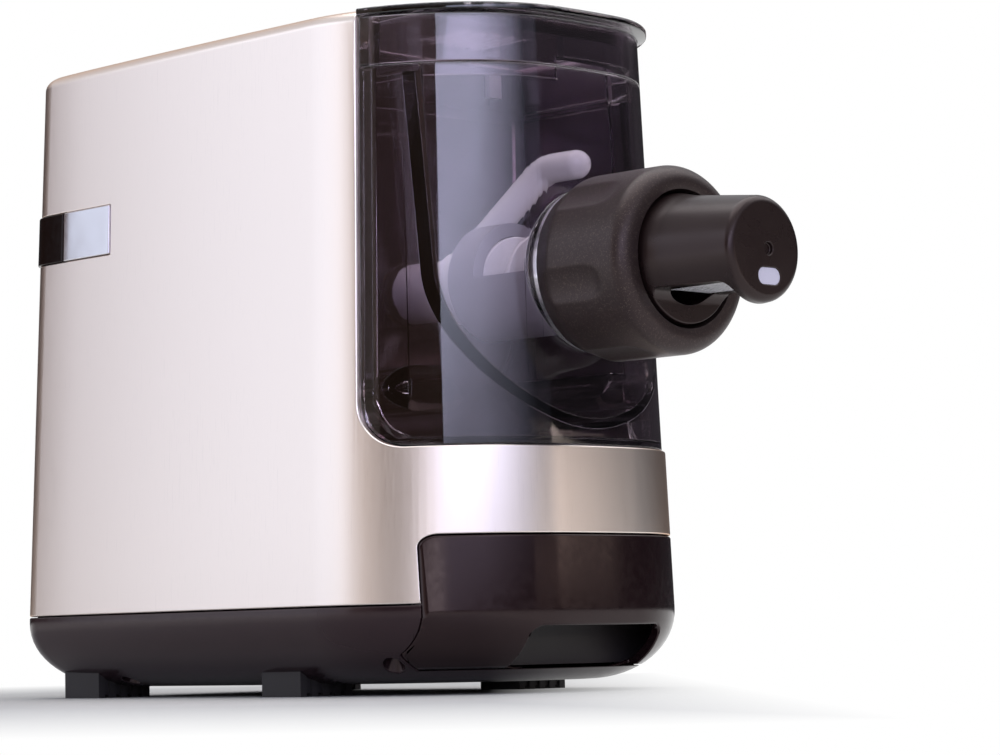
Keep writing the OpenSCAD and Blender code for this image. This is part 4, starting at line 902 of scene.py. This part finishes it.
cam_data = bpy.data.cameras.new("camera")
cam_data.sensor_width = 36.0
cam_data.lens = 118.5
cam_data.clip_start = 0.05
cam = bpy.data.objects.new("camera", cam_data)
az, pitch, roll = math.radians(44.34), math.radians(4.63), math.radians(-1.24)
forward = Vector((math.sin(az)*math.cos(pitch), math.cos(az)*math.cos(pitch), math.sin(pitch)))
level_right = Vector((math.cos(az), -math.sin(az), 0))
level_up = level_right.cross(forward)
right = level_right*math.cos(roll) + level_up*math.sin(roll)
up = level_up*math.cos(roll) - level_right*math.sin(roll)
stand = Matrix((right, up, -forward)).transposed().to_4x4()
stand.translation = (-1.02474, -1.08910, 0.02113)
cam.matrix_world = stand
bpy.context.scene.collection.objects.link(cam)
bpy.context.scene.camera = cam


def softbox(name, position, target, size, radiance, color=(1, 1, 1), across=None, upward=None):
    """A rectangular lamp of a stated radiance, which may fade along its width and its height."""
    data = bpy.data.lights.new(name, "AREA")
    data.shape = "RECTANGLE"
    data.size, data.size_y = size
    data.energy = radiance*math.pi*size[0]*size[1]
    data.color = color
    obj = bpy.data.objects.new(name, data)
    obj.location = position
    obj.rotation_euler = (Vector(target) - Vector(position)).to_track_quat("-Z", "Y").to_euler()
    bpy.context.scene.collection.objects.link(obj)
    if across:
        data.use_nodes = True
        nt = data.node_tree
        u, v, _ = separate(nt, node(nt, "ShaderNodeNewGeometry").outputs["Parametric"])
        nt.links.new(calc(nt, "MULTIPLY", ramp(nt, u, *across), ramp(nt, v, *upward)),
                     nt.nodes["Emission"].inputs["Strength"])


# Three lamps face the machine's front, two stand on its left, one above it and one high to the right
softbox("front_strip", (-0.625, -1.5, 0.54), (-0.625, 0.0, 0.54), (2.65, 0.72), 3.25, (0.87, 0.92, 1.24),
        (0.42, 0.84, 1.0, 0.05), (0.25, 0.60, 0.42, 1.1))
softbox("left_box", (-1.55, 1.13, 0.62), (0, 0.05, 0.15), (1.57, 1.5), 1.11, (0.86, 0.95, 1.10))
softbox("side_box", (-1.9, 0.30, 0.50), (0, 0.0, 0.2), (0.8, 1.1), 0.36, (1.0, 0.86, 0.78))
softbox("low_box", (0.85, -1.5, 0.23), (0.85, 0.0, 0.23), (1.5, 0.14), 4.2, (1.0, 0.84, 0.74),
        (0.0, 0.8, 1.0, 0.25), (0.0, 0.2, 0.6, 1.0))
softbox("low_left_box", (-2.6, -1.5, 0.28), (-2.6, 0.0, 0.28), (1.3, 0.24), 3.4, (0.97, 0.96, 1.05))
softbox("top_box", (0.1, -0.1, 1.8), (0, 0, 0.1), (1.8, 1.8), 2.0)
softbox("fill_box", (1.2, -0.7, 1.5), (0, -0.05, 0.15), (1.1, 0.9), 1.6)

# The world: white to the camera, soft to diffuse light, and in mirrors and clear pieces a room that is
# pale above and dark below, less dark and warmer on its left
DARK, DIM, PALE = (0.035, 0.031, 0.036), (0.14, 0.085, 0.062), (0.75, 0.75, 0.78)
world = bpy.data.worlds.new("studio")
bpy.context.scene.world = world
world.use_nodes = True
wt = world.node_tree
path = node(wt, "ShaderNodeLightPath").outputs
dir_x, _, dir_z = separate(wt, node(wt, "ShaderNodeTexCoord").outputs["Generated"])
soft = wt.nodes["Background"]
soft.inputs["Color"].default_value = (0.95, 0.96, 1.0, 1)
soft.inputs["Strength"].default_value = 0.42
room = node(wt, "ShaderNodeBackground")
low_walls = ramp(wt, ramp(wt, dir_x, -1.0, 1.0, 0.0, 1.0), 0.25, 0.60, DIM, DARK)
wt.links.new(blend(wt, ramp(wt, dir_z, 0.22, 0.50, 0.0, 1.0), low_walls, PALE), room.inputs["Color"])
white = node(wt, "ShaderNodeBackground", Color=(1, 1, 1, 1))
mirrored = layered(wt, calc(wt, "MAXIMUM", path["Is Glossy Ray"], path["Is Transmission Ray"]),
                   soft.outputs["Background"], room.outputs["Background"])
wt.links.new(layered(wt, path["Is Camera Ray"], mirrored, white.outputs["Background"]),
             wt.nodes["World Output"].inputs["Surface"])

# A pale floor that fades to white away from the machine, and sooner towards +X and -Y; the grey it keeps near the
# machine, widest on its -X and +Y side, is a painted shadow pool laid over its real shading
FOOT_MIDDLE, FOOT_HALF = (0.0, 0.055, 0.0), (0.09, 0.14, 0.0)
floor_mat, ft, fb = base_material("floor", (0.52, 0.52, 0.52), 0.6)
drive(ft, fb, "Roughness", noise(ft, coords(ft), 6.0, 3.0), 0.55, 0.65)
place = coords(ft)
beyond = calc(ft, "ABSOLUTE", calc(ft, "SUBTRACT", place, FOOT_MIDDLE, vector=True), vector=True)
outside = calc(ft, "MAXIMUM", calc(ft, "SUBTRACT", beyond, FOOT_HALF, vector=True), (0.0, 0.0, 0.0), vector=True)
aside = calc(ft, "DOT_PRODUCT", place, (0.716, -0.698, 0.0), vector=True)
# 0 in the painted shadow pool around the footprint, which is wider on the -X and +Y side; 1 where the floor turns
# white
past_shadow_pool = calc(ft, "MAXIMUM", ramp(ft, calc(ft, "LENGTH", outside, vector=True), 0.16, 0.55, 0.0, 1.0),
           ramp(ft, aside, 0.02, 0.13, 0.0, 1.0))
path = node(ft, "ShaderNodeLightPath").outputs
seen = calc(ft, "MAXIMUM", path["Is Camera Ray"], path["Is Glossy Ray"])
glow = node(ft, "ShaderNodeEmission")
ft.links.new(layered(ft, calc(ft, "MULTIPLY", past_shadow_pool, seen), fb.outputs["BSDF"], glow.outputs["Emission"]),
             ft.nodes["Material Output"].inputs["Surface"])
floor_mesh = bpy.data.meshes.new("floor")
floor_mesh.from_pydata([(-6, -6, 0), (6, -6, 0), (6, 6, 0), (-6, 6, 0)], [], [[0, 1, 2, 3]])
floor_mesh.materials.append(floor_mat)
floor = bpy.data.objects.new("floor", floor_mesh)
bpy.context.scene.collection.objects.link(floor)

view = bpy.context.scene.view_settings
view.view_transform = "Standard"
